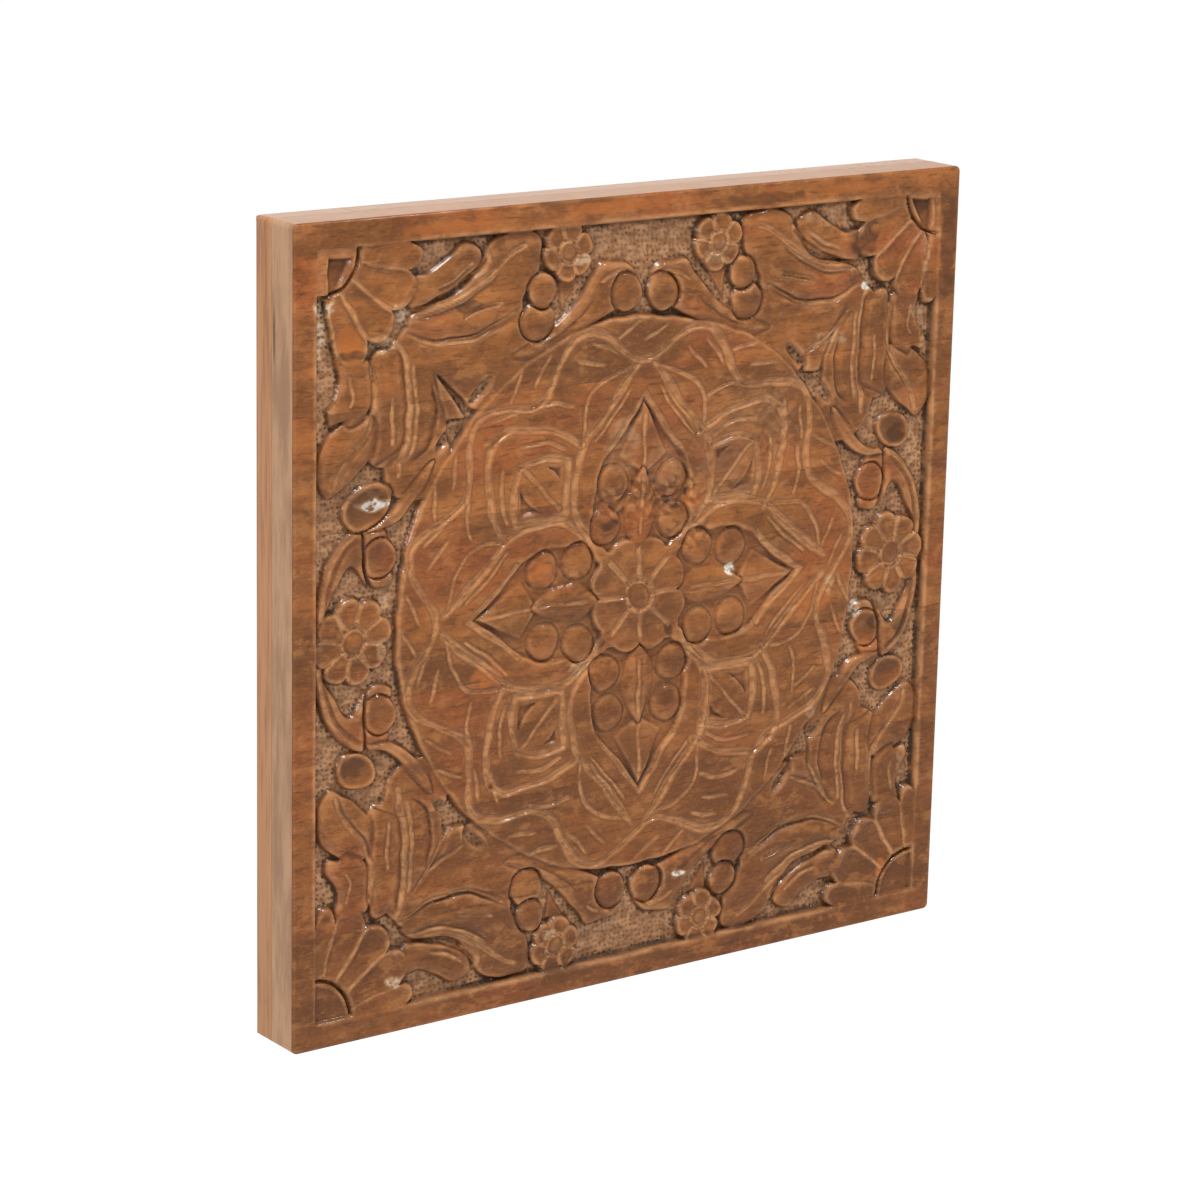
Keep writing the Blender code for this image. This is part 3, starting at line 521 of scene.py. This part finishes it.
def vine(relief):
    """Cut the wavy vine and two short leaf cuts in each of its bays.

    The spots of a bay give each cut's radius and how many degrees it lies from the crest of the wave.
    """
    out, way = np.hypot(relief.x, relief.z), np.arctan2(relief.z, relief.x)
    phase = VINE_WAVES * (way - np.radians(90) - vine_drift(way))
    ring = VINE_RADIUS - VINE_SWING * np.cos(phase)
    slope = VINE_SWING * np.sin(phase) * VINE_WAVES / VINE_RADIUS
    relief.gouge((out - ring) / np.sqrt(1 + slope ** 2), WIDE_GOUGE)
    for k in range(2 * VINE_WAVES):
        crest = np.radians(90 + k * 180 / VINE_WAVES)
        crest += vine_drift(crest)
        outer_bay = k % 2 == 0
        tilt = np.radians(32 if outer_bay else -30)
        spots = ((0.1325, -3.2), (0.1345, 3.8)) if outer_bay else ((0.1225, -0.5), (0.1275, -5.0))
        for radius, lag in spots:
            at = crest + np.radians(lag)
            leaf_cut(relief, radius * np.cos(at), radius * np.sin(at), at - np.pi / 2 + tilt)


def leaf_cut(relief, x, z, turn):
    """Cut one short straight stroke, run out at both ends."""
    dx, dz = relief.x - x, relief.z - z
    along = dx * np.cos(turn) + dz * np.sin(turn)
    across = dz * np.cos(turn) - dx * np.sin(turn)
    relief.gouge(across, FINE_GOUGE, np.clip(1 - (2 * along / LEAF_CUT_LENGTH) ** 2, 0, 1) ** 0.7)


def cross_petal(relief, p, q):
    """Carve one petal of the cross: p runs out from the centre and q, positive, to both sides.

    A sunk panel holds a pointed leaf, a kite with straight sides beyond it, and two berries on each side.
    """
    ahead = p > CROSS_START
    edge = np.interp(p / MM, (24, 32, 40, 50, 62, 70, 76, 84, 102),
                     (20, 26.5, 29, 29.5, 28.5, 25, 20, 12, 0))
    relief.sink(np.where(ahead, edge * MM - q, -FAR), SUNK)
    stroke(relief, p, q, ((116, 7), (110, 24), (102, 34), (91, 37), (79, 37)), FINE_GOUGE)
    stroke(relief, p, q, ((119, 3), (107, 14), (96, 22), (86, 31), (77, 38), (66, 41), (50, 41.5),
                          (40, 37), (28, 27)), WIDE_GOUGE, taper=0.04)
    stroke(relief, p, q, ((104, -1), (90, 9.5), (82, 15), (74, 23)), taper=0)
    kite = np.minimum((KITE_TIP - p) * 0.48 - q * 0.87, (p - KITE_FOOT) * 0.84 - q * 0.54) - 0.0012
    top = LEAF_TOP - 0.0014 * np.clip(q / 0.016, 0, 1)
    relief.lay_over(np.where(ahead, kite, -FAR), top)
    relief.gouge(np.where(ahead & (kite > 0.0003), q, FAR), FINE_GOUGE, 0.7)
    blade(relief, p, q, ((26, 0), (45, 0), (66, 0)), 20)
    stroke(relief, p, q, ((32, 0), (62, 0)), FINE_GOUGE)
    stroke(relief, p, q, ((111, 8), (101, 15.5), (91, 24), (82, 31)), HATCH)
    stroke(relief, p, q, ((105, 9), (97, 15), (87, 23.5), (79, 31)), HATCH)
    berry(relief, p, q, (58, 18), 9.8, ring=True)
    berry(relief, p, q, (37, 20.5), 9.6, ring=True)


def corner_frame(relief, p, q):
    """Cut a small square frame round a leaf, and the two outlines and strokes outside it."""
    in_p, in_q = p - FRAME_CORNER[0], q - FRAME_CORNER[1]
    end_p = FRAME_SIDE + FRAME_BOW * np.sin(np.pi * np.clip(in_q / FRAME_SIDE, 0, 1))
    end_q = FRAME_SIDE + FRAME_BOW * np.sin(np.pi * np.clip(in_p / FRAME_SIDE, 0, 1))
    box = np.minimum(np.minimum(in_p, in_q), np.minimum(end_p - in_p, end_q - in_q))
    distance, share, _, _ = path_distance(p, q, smooth_path(((46, 46), (58, 59), (73, 73))), 0.020)
    middle = 0.010 * np.sin(np.pi * share) ** 0.8 - distance
    relief.sink(np.where(middle > 0, -FAR, box - 0.0035), LEAF_SIDE_FLOOR)
    relief.gouge(np.where(box > -0.003, box, FAR), WIDE_GOUGE)
    relief.gouge(np.where(middle > 0, distance, FAR), FINE_GOUGE)
    for along, across in ((p, q), (q, p)):
        outline = ((79, 36), (86, 50), (90, 66), (91, 79), (87, 87))
        stroke(relief, along, across, outline, WIDE_GOUGE, taper=0)
        stroke(relief, along, across, ((77, 45), (82, 58), (82, 73)), FINE_GOUGE)
        stroke(relief, along, across, ((98, 40), (101, 52), (100, 66)), FINE_GOUGE)


def medallion(relief):
    """Carve the round middle: vine, frames, crossed petals and the centre rosette."""
    out = np.hypot(relief.x, relief.z)
    relief.lay_over(DISC_RADIUS - out, DISC_TOP, wall=0.0018, moat=0.0010)
    relief.gouge(out - DISC_RADIUS + 0.0016, FINE_GOUGE, 0.35)
    vine(relief)
    corner_frame(relief, np.abs(relief.x), np.abs(relief.z))
    x, z = relief.x - CROSS_SHIFT, relief.z
    for ahead, aside in ((x, z), (z, x), (-x, z), (-z, x)):
        cross_petal(relief, ahead, np.abs(aside))
    rosette(relief, (CROSS_SHIFT, 0.0008), CENTRE_ROSETTE_RADIUS, 8, np.radians(22.5), 0.0072)


def carve(x, z):
    """Work out the carved face: its heights, 0 on the flat of the rim and below 0 elsewhere, and shares.

    The lines of the pattern are bent a little by sums of sine waves, since they were drawn by hand. Inside
    the rim the heights ripple by a tenth of a millimetre up and down, as the tool left them. The shares
    say where the wood is fresh cut, where shade is painted, where it is sunk ground and where it is dented
    by the punch.
    """
    bent_x = x + 0.0012 * np.sin(z / 0.037 + 1.1) + 0.0007 * np.sin(z / 0.013 + x / 0.05)
    bent_x = bent_x + 0.0003 * np.sin(z / 0.0031 + 2 * np.sin(x / 0.011))
    bent_x = bent_x + 0.00012 * np.sin(z / 0.0017 + x / 0.009)
    bent_z = z + 0.0011 * np.sin(x / 0.033 + 0.4) + 0.0007 * np.sin(x / 0.015 - z / 0.06 + 2)
    bent_z = bent_z + 0.0003 * np.sin(x / 0.0035 + 2 * np.sin(z / 0.012))
    bent_z = bent_z + 0.00012 * np.sin(x / 0.0019 - z / 0.008)
    relief = Relief(bent_x, bent_z)
    border(relief)
    medallion(relief)
    relief.punch()
    from_rim = FIELD - np.maximum(np.abs(x), np.abs(z))
    heights = relief.height * np.clip(from_rim / WALL, 0, 1)
    waver = np.sin(x / 0.0041 + 2 * np.sin(z / 0.017)) * np.sin(z / 0.0053 + 2 * np.sin(x / 0.023))
    heights = heights + TOOL_RIPPLE * (waver - 1) * np.clip(from_rim / 0.004, 0, 1)
    from_edge = SIDE / 2 - np.maximum(np.abs(x), np.abs(z))
    share = np.clip(1 - from_edge / RIM_ROUNDING, 0, 1)
    heights = heights - RIM_ROUNDING * (1 - np.sqrt(1 - share ** 2)) * 0.8
    beside_rim = smooth(2 - from_rim / WALL)
    # Painted shadow along the foot of the rim's walls, broken up, and left off near the top rim
    rim_shadow = 0.7 * relief.worn * beside_rim * smooth(-relief.height / STEEP) * (z < FIELD - UNSHADED_TOP)
    relief.dark = np.maximum(relief.dark, rim_shadow)
    relief.ground = relief.ground * (1 - 0.7 * beside_rim)
    shares = np.stack((relief.cut, relief.dark, relief.ground, relief.dented)) * (from_rim > 0)
    return heights, *shares


def patches(x, z, places):
    """Cover soft ovals with uneven edges: strength * smooth(2.5 - 2 * distance / size)."""
    uneven = np.sin(x / 0.0017 + 2 * np.sin(z / 0.0031)) + np.sin(z / 0.0013 + 2 * np.sin(x / 0.0043))
    cover = np.zeros(x.shape)
    for across, down, half_width, half_height, strength in places:
        off_x = ((x + SIDE / 2) / MM - across) / half_width
        off_z = ((SIDE / 2 - z) / MM - down) / half_height
        cover = np.maximum(cover, strength * smooth(2.5 - 2 * (np.hypot(off_x, off_z) + 0.16 * uneven)))
    return cover


def round_corners(x, z):
    """Draw the points near each corner of the square in onto a rounded corner."""
    start = SIDE / 2 - CORNER_RADIUS
    over_x, over_z = np.maximum(np.abs(x) - start, 0), np.maximum(np.abs(z) - start, 0)
    reach = np.maximum(np.hypot(over_x, over_z), 1e-9)
    shrink = np.maximum(over_x, over_z) / reach
    x = np.where(over_x > 0, np.sign(x) * (start + over_x * shrink), x)
    z = np.where(over_z > 0, np.sign(z) * (start + over_z * shrink), z)
    return x, z


def softened(field, samples):
    """Blur a field with three running means each way, each over 2 * samples + 1 points."""
    for axis in (0, 1) * 3:
        pad = [(0, 0), (0, 0)]
        pad[axis] = (samples + 1, samples)
        sums = np.cumsum(np.pad(field, pad, mode="edge"), axis=axis)
        ahead = np.take(sums, np.arange(2 * samples + 1, sums.shape[axis]), axis=axis)
        behind = np.take(sums, np.arange(sums.shape[axis] - 2 * samples - 1), axis=axis)
        field = (ahead - behind) / (2 * samples + 1)
    return field


def grid_lines(start, end, fine_start, fine_end):
    """Space lines evenly from start to end, with several closer ones at an edge and one at a joint."""
    first = start + np.array(FINE_LINES if fine_start else (0, JOINT_EASE / MM)) * MM
    last = end - np.array(FINE_LINES if fine_end else (0, JOINT_EASE / MM))[::-1] * MM
    count = int(np.ceil((last[0] - first[-1]) / GRID_STEP))
    return np.concatenate((first, np.linspace(first[-1], last[0], count + 1)[1:-1], last))


def board_mesh(name, x, depth, z, masks):
    """Close a board: its face is the grid (x, z) at a depth, and its four edges run straight back.

    Two rings of points go round the grid. The first stands where the sawn edge starts, the second at
    the back.
    """
    rings = np.pad(np.pad(np.zeros(x.shape), 1, constant_values=1), 1, constant_values=2)
    flat_x, flat_z = round_corners(np.pad(x, 2, mode="edge"), np.pad(z, 2, mode="edge"))
    face = np.pad(depth, 2, mode="edge")
    at_back = np.full(face.shape, BACK_Y)
    y = np.choose(rings.astype(int), (FRONT_Y + face, FRONT_Y + face + EDGE_START, at_back))
    points = np.stack((flat_x, y, flat_z + CENTRE_Z), axis=-1).reshape(-1, 3)
    rows, columns = rings.shape
    number = np.arange(rows * columns).reshape(rows, columns)
    quads = np.stack((number[:-1, :-1], number[1:, :-1], number[1:, 1:], number[:-1, 1:]), axis=-1)
    top, bottom = number[0], number[-1]
    back = np.stack((top[1:-2], top[2:-1], bottom[2:-1], bottom[1:-2]), axis=-1)
    left = [int(top[1]), *bottom[1::-1].tolist(), *number[-2::-1, 0].tolist()]
    right = [int(bottom[-2]), *top[-2:].tolist(), *number[1:, -1].tolist()]
    mesh = bpy.data.meshes.new(name)
    mesh.from_pydata(points, [], quads.reshape(-1, 4).tolist() + back.tolist() + [left, right])
    mesh.shade_smooth()
    mesh.set_sharp_from_angle(angle=SHARP_ANGLE)
    for mask, values in masks.items():
        attribute = mesh.attributes.new(mask, "FLOAT", "POINT")
        attribute.data.foreach_set("value", np.pad(values, 2, mode="edge").ravel())
    edge = mesh.attributes.new("edge", "FLOAT", "POINT")
    edge.data.foreach_set("value", np.minimum(rings, 1).ravel())
    # The top face's points, which the finish paints paler, as if lit from above
    upper = mesh.attributes.new("upper", "FLOAT", "POINT")
    upper.data.foreach_set("value", (np.minimum(rings, 1) * (flat_z > SIDE / 2 - EDGE_START)).ravel())
    return mesh


class Reading:
    """A value inside a finish. Sums, differences and products of readings become its Math nodes."""

    def __init__(self, finish, socket):
        self.finish, self.socket = finish, socket

    def math(self, operation, first, second):
        return self.finish.node("ShaderNodeMath", {"operation": operation}, {0: first, 1: second})

    def __add__(self, other):
        return self.math("ADD", self, other)

    def __sub__(self, other):
        return self.math("SUBTRACT", self, other)

    def __rsub__(self, other):
        return self.math("SUBTRACT", other, self)

    def __mul__(self, other):
        return self.math("MULTIPLY", self, other)


class Finish:
    """A material as it is mixed: a Principled shader and the nodes that feed it."""

    def __init__(self, name):
        self.material = bpy.data.materials.new(name)
        self.material.use_nodes = True
        self.tree = self.material.node_tree
        self.shader = self.tree.nodes["Principled BSDF"]

    def feed(self, socket, value):
        """Link a reading to a socket, or set the socket to a plain value."""
        if isinstance(value, Reading):
            self.tree.links.new(value.socket, socket)
        else:
            socket.default_value = value

    def give(self, name, value):
        """Feed the shader's input of that name."""
        self.feed(self.shader.inputs[name], value)

    def node(self, kind, settings, inputs, output=0):
        """Add a node with its settings and inputs, and read one of its outputs."""
        made = self.tree.nodes.new(kind)
        for name, value in settings.items():
            setattr(made, name, value)
        for name, value in inputs.items():
            self.feed(made.inputs[name], value)
        return Reading(self, made.outputs[output])

    def mask(self, name):
        """Read a share that the mesh carries point by point."""
        return self.node("ShaderNodeAttribute", {"attribute_name": name}, {}, output=2)

    def between(self, value, start, end, low=0.0, high=1.0):
        """Run from low to high, with level ends, while the value runs from start to end."""
        limits = {"Value": value, "From Min": start, "From Max": end, "To Min": low, "To Max": high}
        return self.node("ShaderNodeMapRange", {"interpolation_type": "SMOOTHSTEP"}, limits)

    def mix(self, share, first, second, blend="MIX"):
        settings = {"data_type": "RGBA", "blend_type": blend}
        return self.node("ShaderNodeMix", settings, {0: share, 6: first, 7: second}, output=2)

    def stretched(self, stretch, shift):
        """Object coordinates, multiplied by stretch and moved on by shift in X and a part of it in Y."""
        place = self.node("ShaderNodeTexCoord", {}, {}, output=3)
        place = self.node("ShaderNodeVectorMath", {"operation": "MULTIPLY"}, {0: place, 1: stretch})
        step = self.node("ShaderNodeCombineXYZ", {}, {0: shift, 1: shift * 0.37})
        return self.node("ShaderNodeVectorMath", {"operation": "ADD"}, {0: place, 1: step})

    def spot(self, middle, reach):
        """The distance from a middle, counted in shares of the reach along each axis."""
        place = self.node("ShaderNodeTexCoord", {}, {}, output=3)
        place = self.node("ShaderNodeVectorMath", {"operation": "SUBTRACT"}, {0: place, 1: middle})
        place = self.node("ShaderNodeVectorMath", {"operation": "DIVIDE"}, {0: place, 1: reach})
        return self.node("ShaderNodeVectorMath", {"operation": "LENGTH"}, {0: place}, output=1)

    def noise(self, stretch, shift, detail, roughness=0.55, distortion=0.0):
        """Noise whose patches are 1 / stretch metres long each way."""
        inputs = {
            "Vector": self.stretched(stretch, shift), "Scale": 1.0, "Detail": detail,
            "Roughness": roughness, "Distortion": distortion,
        }
        return self.node("ShaderNodeTexNoise", {}, inputs)


def colour(red, green, blue):
    """Turn a colour given from 0 to 255 into the shader's linear values."""
    share = np.array((red, green, blue)) / 255
    linear = np.where(share < 0.04045, share / 12.92, ((share + 0.055) / 1.055) ** 2.4)
    return (*linear.tolist(), 1.0)


def carved_finish():
    """Brown lacquered hardwood: grain along X, boards unlike each other, light cuts and a dusty ground,
    with painted shade, highlights and a painted light top.
    """
    finish = Finish("carved_wood")
    board = finish.mask("board")
    shift = board * 37.3
    broad = finish.noise((9, 60, 36), shift, detail=3, distortion=0.5)
    patch = finish.noise((14, 30, 24), shift, detail=4, roughness=0.6)
    streak = finish.noise((20, 300, 300), shift, detail=4, roughness=0.65)
    fine = finish.noise((70, 1400, 1400), shift, detail=2)
    mottle = finish.noise((160, 260, 260), shift, detail=3)
    blotch = finish.noise((75, 120, 120), shift, detail=4, roughness=0.65)

    body = finish.mix(finish.between(broad, 0.34, 0.66), colour(122, 77, 41), colour(170, 108, 57))
    body = finish.mix(finish.between(patch, 0.50, 0.68) * 0.6, body, colour(170, 92, 48))
    body = finish.mix(finish.between(patch, 0.50, 0.34) * 0.55, body, colour(118, 74, 40))
    body = finish.mix((1 - board) * 0.55, body, colour(104, 62, 34))
    grain = finish.between(streak + (fine - 0.5) * 0.5, 0.56, 0.34)
    body = finish.mix(grain * 0.26, body, colour(92, 54, 26))
    body = finish.mix(finish.between(blotch, 0.52, 0.64) * 0.4, body, colour(186, 126, 76))
    body = finish.mix(finish.between(blotch, 0.48, 0.36) * 0.5, body, colour(104, 62, 32))
    pores = finish.noise((90, 620, 620), shift, detail=2)
    body = finish.mix(finish.between(pores, 0.42, 0.32) * 0.5, body, colour(86, 50, 26))
    grit = finish.noise((420, 800, 800), shift, detail=2, roughness=0.6)
    body = finish.mix(finish.between(grit, 0.52, 0.72) * 0.13, body, colour(206, 146, 96))
    body = finish.mix(finish.between(grit, 0.48, 0.28) * 0.16, body, colour(82, 48, 26))

    cut, ground, crevice_shade, wear, hollow_shade, edge, upper = (
        finish.mask(name) for name in ("cut", "ground", "crevice_shade", "wear", "hollow_shade", "edge", "upper"))
    glint_and_pale, stain_and_shade, warm, dented = (finish.mask(name) for name in ("glint_and_pale", "stain_and_shade", "warm", "dented"))
    body = finish.mix(warm * 0.7, body, colour(186, 108, 50))
    # Real stains, and painted shade in pockets and crevices
    body = finish.mix(stain_and_shade * finish.between(mottle, 0.3, 0.6, 0.6, 0.95), body, colour(84, 52, 28))
    dust = finish.mix(finish.between(mottle, 0.35, 0.65), colour(144, 104, 74), colour(194, 150, 118))
    body = finish.mix(ground * finish.between(patch, 0.3, 0.6, 0.6, 0.95), body, dust)
    body = finish.mix(dented * finish.between(mottle, 0.3, 0.6, 0.6, 0.2), body, colour(112, 80, 52))
    # Painted shade in hollows
    body = finish.mix(hollow_shade * 0.35, body, colour(104, 60, 30))
    body = finish.mix(wear * finish.between(blotch, 0.35, 0.6, 0.15, 0.55), body, colour(210, 156, 114))
    fresh = finish.between(streak + (mottle - 0.5), 0.35, 0.65, 0.35, 0.8)
    body = finish.mix(cut * fresh, body, colour(210, 156, 112))
    # Painted sheen and highlights, with pale lacquer, and at the strongest patches a painted white glint
    body = finish.mix(glint_and_pale * finish.between(mottle, 0.40, 0.58, 0.15, 0.85), body, colour(214, 184, 156))
    painted_glint = finish.between(glint_and_pale, 0.72, 0.98) * finish.between(mottle, 0.38, 0.54)
    body = finish.mix(painted_glint, body, colour(236, 238, 250))
    # Painted shade in crevices, at the feet of forms, beside cuts and in chips
    body = finish.mix(crevice_shade * finish.between(blotch, 0.38, 0.58, 0.3, 1.0), body, colour(58, 40, 26))

    sawn = finish.noise((60, 130, 24), 2.2, detail=4, roughness=0.6)
    sawn = finish.mix(finish.between(sawn, 0.35, 0.65), colour(157, 120, 92), colour(184, 144, 111))
    line = finish.noise((300, 700, 40), 5.2, detail=3)
    sawn = finish.mix(finish.between(line, 0.45, 0.30) * 0.35, sawn, colour(142, 104, 76))
    knot_at = (-SIDE / 2, BACK_Y - KNOT_FROM_BACK, CENTRE_Z + SIDE / 2 - KNOT_DOWN)
    knot = finish.spot(knot_at, KNOT_REACH)
    sawn = finish.mix(finish.between(knot + (line - 0.5) * 1.6, 1.3, 0.4) * 0.85, sawn, colour(92, 76, 50))
    # Painted light: the top faces of the sawn edges are paled, as if lit from above
    sawn = finish.mix(upper * 0.8, sawn, colour(186, 154, 134))
    body = finish.mix(1.0, body, LACQUER_TINT, blend="MULTIPLY")
    body = finish.mix(edge, body, sawn)
    planed = finish.mix(finish.between(broad, 0.34, 0.66), colour(146, 104, 72), colour(178, 132, 94))
    planed = finish.mix((1 - board) * 0.4, planed, colour(138, 100, 72))
    planed = finish.mix(grain * 0.4, planed, colour(116, 78, 50))
    from_back = finish.spot((0, BACK_Y, 0), (FAR / MM, EDGE_START, FAR / MM))
    body = finish.mix(finish.between(from_back, 1.5, 0.5), body, planed)
    finish.give("Base Color", body)

    dull = finish.between(finish.noise((45, 45, 45), shift, detail=3), 0.3, 0.7, 0.26, 0.44)
    dull = dull + ground * 0.16 + crevice_shade * 0.2 + edge * 0.3 - glint_and_pale * 0.2
    finish.give("Roughness", dull)
    relief = streak * 0.5 + fine * 0.3 + mottle * 0.5 + blotch * 0.5 + grit * 0.2
    bump = {"Height": relief, "Strength": 0.6, "Distance": 0.0003}
    finish.give("Normal", finish.node("ShaderNodeBump", {}, bump))
    finish.give("Specular IOR Level", 0.3)
    finish.give("Coat Weight", 0.4 - edge * 0.4)
    finish.give("Coat Roughness", 0.08)
    return finish.material


columns = grid_lines(-SIDE / 2, SIDE / 2, True, True)
edges = SIDE / 2 - np.array((0, *BOARD_JOINTS, SIDE / MM)) * MM
spans = []
for number, (upper, lower) in enumerate(zip(edges[:-1], edges[1:])):
    first, last = number == 0, number == len(BOARD_JOINTS)
    start = upper - (0 if first else JOINT_GAP / 2)
    end = lower + (0 if last else JOINT_GAP / 2)
    spans.append(-grid_lines(-start, -end, first, last))
face_x, face_z = np.meshgrid(columns, np.concatenate(spans))
heights, cut, dark, ground, dented = carve(face_x, face_z)
chipped = patches(face_x, face_z, CHIPPED)
flake = np.sin(face_x / 0.0017 + np.sin(face_z / 0.0031))
flake = flake * np.sin(face_z / 0.0013 + 1.4 * np.sin(face_x / 0.0027))
chips = chipped * smooth(0.5 + flake)
heights = heights - CHIP_DEPTH * chips
glint_and_pale = patches(face_x, face_z, GLINTS_AND_PALE_LACQUER)
stain_and_shade = patches(face_x, face_z, STAINS_AND_SHADE)
warm = patches(face_x, face_z, WARM)
around = softened(heights, 2)
# Painted shade: crevices, the relief's painted shade lines and the chips are darkened
crevice_shade = np.maximum(np.clip((around - heights) / CREVICE - 0.35, 0, 1) * (1 - cut), 0.8 * dark)
crevice_shade = np.maximum(crevice_shade, 0.35 * chips)
# Painted shade in hollows, though not on the sunk ground
hollow_shade = smooth((softened(heights, 8) - heights) / HOLLOW) * (1 - ground)
wear = np.clip((heights - around) / CREVICE - 0.1, 0, 1) * (1 - cut)
face_masks = {
    "cut": cut, "ground": ground, "crevice_shade": crevice_shade, "wear": wear, "hollow_shade": hollow_shade,
    "glint_and_pale": glint_and_pale, "stain_and_shade": stain_and_shade, "warm": warm, "dented": dented,
}
wood = carved_finish()
row = 0
for number, lines in enumerate(spans):
    rows = slice(row, row + len(lines))
    row += len(lines)
    eased = np.zeros(face_x[rows].shape)
    eased[0] = 0.0 if number == 0 else JOINT_DIP
    eased[-1] = 0.0 if number == len(BOARD_JOINTS) else JOINT_DIP
    tone = np.full(eased.shape, BOARD_TONES[number])
    masks = {"board": tone}
    for mask, values in face_masks.items():
        masks[mask] = values[rows]
    name = f"board_{number + 1}"
    mesh = board_mesh(name, face_x[rows], eased - heights[rows], face_z[rows], masks)
    board = bpy.data.objects.new(name, mesh)
    bpy.context.scene.collection.objects.link(board)
    mesh.materials.append(wood)
    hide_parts("carved_panel")
    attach(board, "root")


# The battens. Four planed bars of the same wood lie flat behind the boards, the sides at full height
# and the top and bottom rails between them. They are glued on, and lacquered thinly.

ARRIS = 0.0003


def batten_finish(name, stretch):
    """Planed wood, orange brown, with its grain along the bar, a painted light top and painted shade along
    the back.
    """
    finish = Finish(name)
    short = tuple(value / 9 for value in stretch)
    broad = finish.noise(short, 3.1, detail=4, distortion=0.4)
    streak = finish.noise(stretch, 1.7, detail=4, roughness=0.65)
    body = finish.mix(finish.between(broad, 0.3, 0.7), colour(166, 116, 76), colour(190, 136, 94))
    body = finish.mix(finish.between(streak, 0.30, 0.55, 0.35, 1.0), colour(136, 90, 56), body)
    # Painted light: the top faces are paled, as if lit from above
    from_top = finish.spot((0, 0, CENTRE_Z + SIDE / 2), (FAR / MM, FAR / MM, ARRIS))
    body = finish.mix(finish.between(from_top, 1.5, 0.5) * 0.8, body, colour(184, 152, 132))
    # Painted shade along the back edges
    from_back = finish.spot((0, 0, 0), (FAR / MM, 0.0016, FAR / MM))
    body = finish.mix(finish.between(from_back, 1, 0) * 0.5, body, colour(120, 88, 62))
    finish.give("Base Color", body)
    finish.give("Roughness", finish.between(streak, 0.3, 0.7, 0.42, 0.58))
    bump = {"Height": streak, "Strength": 0.4, "Distance": 0.0003}
    finish.give("Normal", finish.node("ShaderNodeBump", {}, bump))
    return finish.material


upright = batten_finish("batten_upright", (420, 420, 20))
across = batten_finish("batten_across", (20, 420, 420))
for side, wood in (("left", upright), ("right", upright), ("top", across), ("bottom", across)):
    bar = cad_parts[f"batten_{side}"].data
    bar.materials.clear()
    bar.materials.append(wood)


# The studio: a pale floor far below the hanging panel, a white room, soft lamps from above and from the
# left, and weak ones from behind and from the right. The camera stands to the left, a little above.

FLOOR_DROP = 1.3
FLOOR_SIZE = 90.0
corners = np.array(((-1, -1), (1, -1), (1, 1), (-1, 1))) * FLOOR_SIZE / 2
floor_mesh = bpy.data.meshes.new("floor")
floor_points = np.column_stack((corners, np.full(4, low.z - FLOOR_DROP)))
floor_mesh.from_pydata(floor_points, [], [(0, 1, 2, 3)])
floor = bpy.data.objects.new("floor", floor_mesh)
bpy.context.scene.collection.objects.link(floor)
pale = Finish("pale_floor")
pale.give("Base Color", (0.9, 0.9, 0.9, 1.0))
pale.give("Roughness", 0.9)
pale.give("Specular IOR Level", 0.0)
pale.give("Emission Color", (1.0, 1.0, 1.0, 1.0))
pale.give("Emission Strength", 0.7)
floor.visible_glossy = False
floor_mesh.materials.append(pale.material)

world = bpy.data.worlds.new("white_room")
world.use_nodes = True
world.node_tree.nodes["Background"].inputs["Color"].default_value = (1.0, 1.0, 1.0, 1.0)
world.node_tree.nodes["Background"].inputs["Strength"].default_value = 0.35
bpy.context.scene.world = world
bpy.context.scene.view_settings.view_transform = "Standard"


def lamp(name, place, aim, size, power):
    """Hang a square soft lamp at a place, turned to face the aim."""
    light = bpy.data.lights.new(name, "AREA")
    light.shape, light.size, light.energy = "SQUARE", size, power
    made = bpy.data.objects.new(name, light)
    made.location = place
    east, north, up = np.array(place) - np.array(aim)
    made.rotation_euler = (np.arctan2(np.hypot(east, north), up), 0, np.arctan2(east, -north))
    bpy.context.scene.collection.objects.link(made)


middle = (0.0, FRONT_Y, CENTRE_Z)
lamp("top_lamp", (-0.3, -0.7, 2.0), middle, 0.5, 40)
lamp("left_lamp", (-2.4, -0.8, 0.8), middle, 0.7, 20)
lamp("far_card", (1.8, 2.4, 0.95), (0, 0, 0), 1.6, 9)
lamp("small_lamp", (0.9, -1.3, 1.0), middle, 0.12, 3.2)

YAW, PITCH, ROLL = np.radians((36.52, -14.47, 1.249))
VIEW_OFFSET = (-1.1152, -1.4744, 0.4744)
FOCAL_PIXELS, PHOTO_PIXELS = 3862, 1200
ahead = np.array((np.sin(YAW) * np.cos(PITCH), np.cos(YAW) * np.cos(PITCH), np.sin(PITCH)))
right = np.cross(ahead, (0, 0, 1))
right = right / np.linalg.norm(right)
above = np.cross(right, ahead)
rolled_right = right * np.cos(ROLL) + above * np.sin(ROLL)
rolled_up = above * np.cos(ROLL) - right * np.sin(ROLL)
turn = Matrix(np.column_stack((rolled_right, rolled_up, -ahead)).tolist()).to_4x4()
lens = bpy.data.cameras.new("camera")
lens.sensor_width = 36
lens.lens = lens.sensor_width * FOCAL_PIXELS / PHOTO_PIXELS
lens.clip_start, lens.clip_end = 0.05, 100
camera = bpy.data.objects.new("camera", lens)
camera.matrix_world = Matrix.Translation(np.array(middle) + VIEW_OFFSET) @ turn
bpy.context.scene.collection.objects.link(camera)
bpy.context.scene.camera = camera
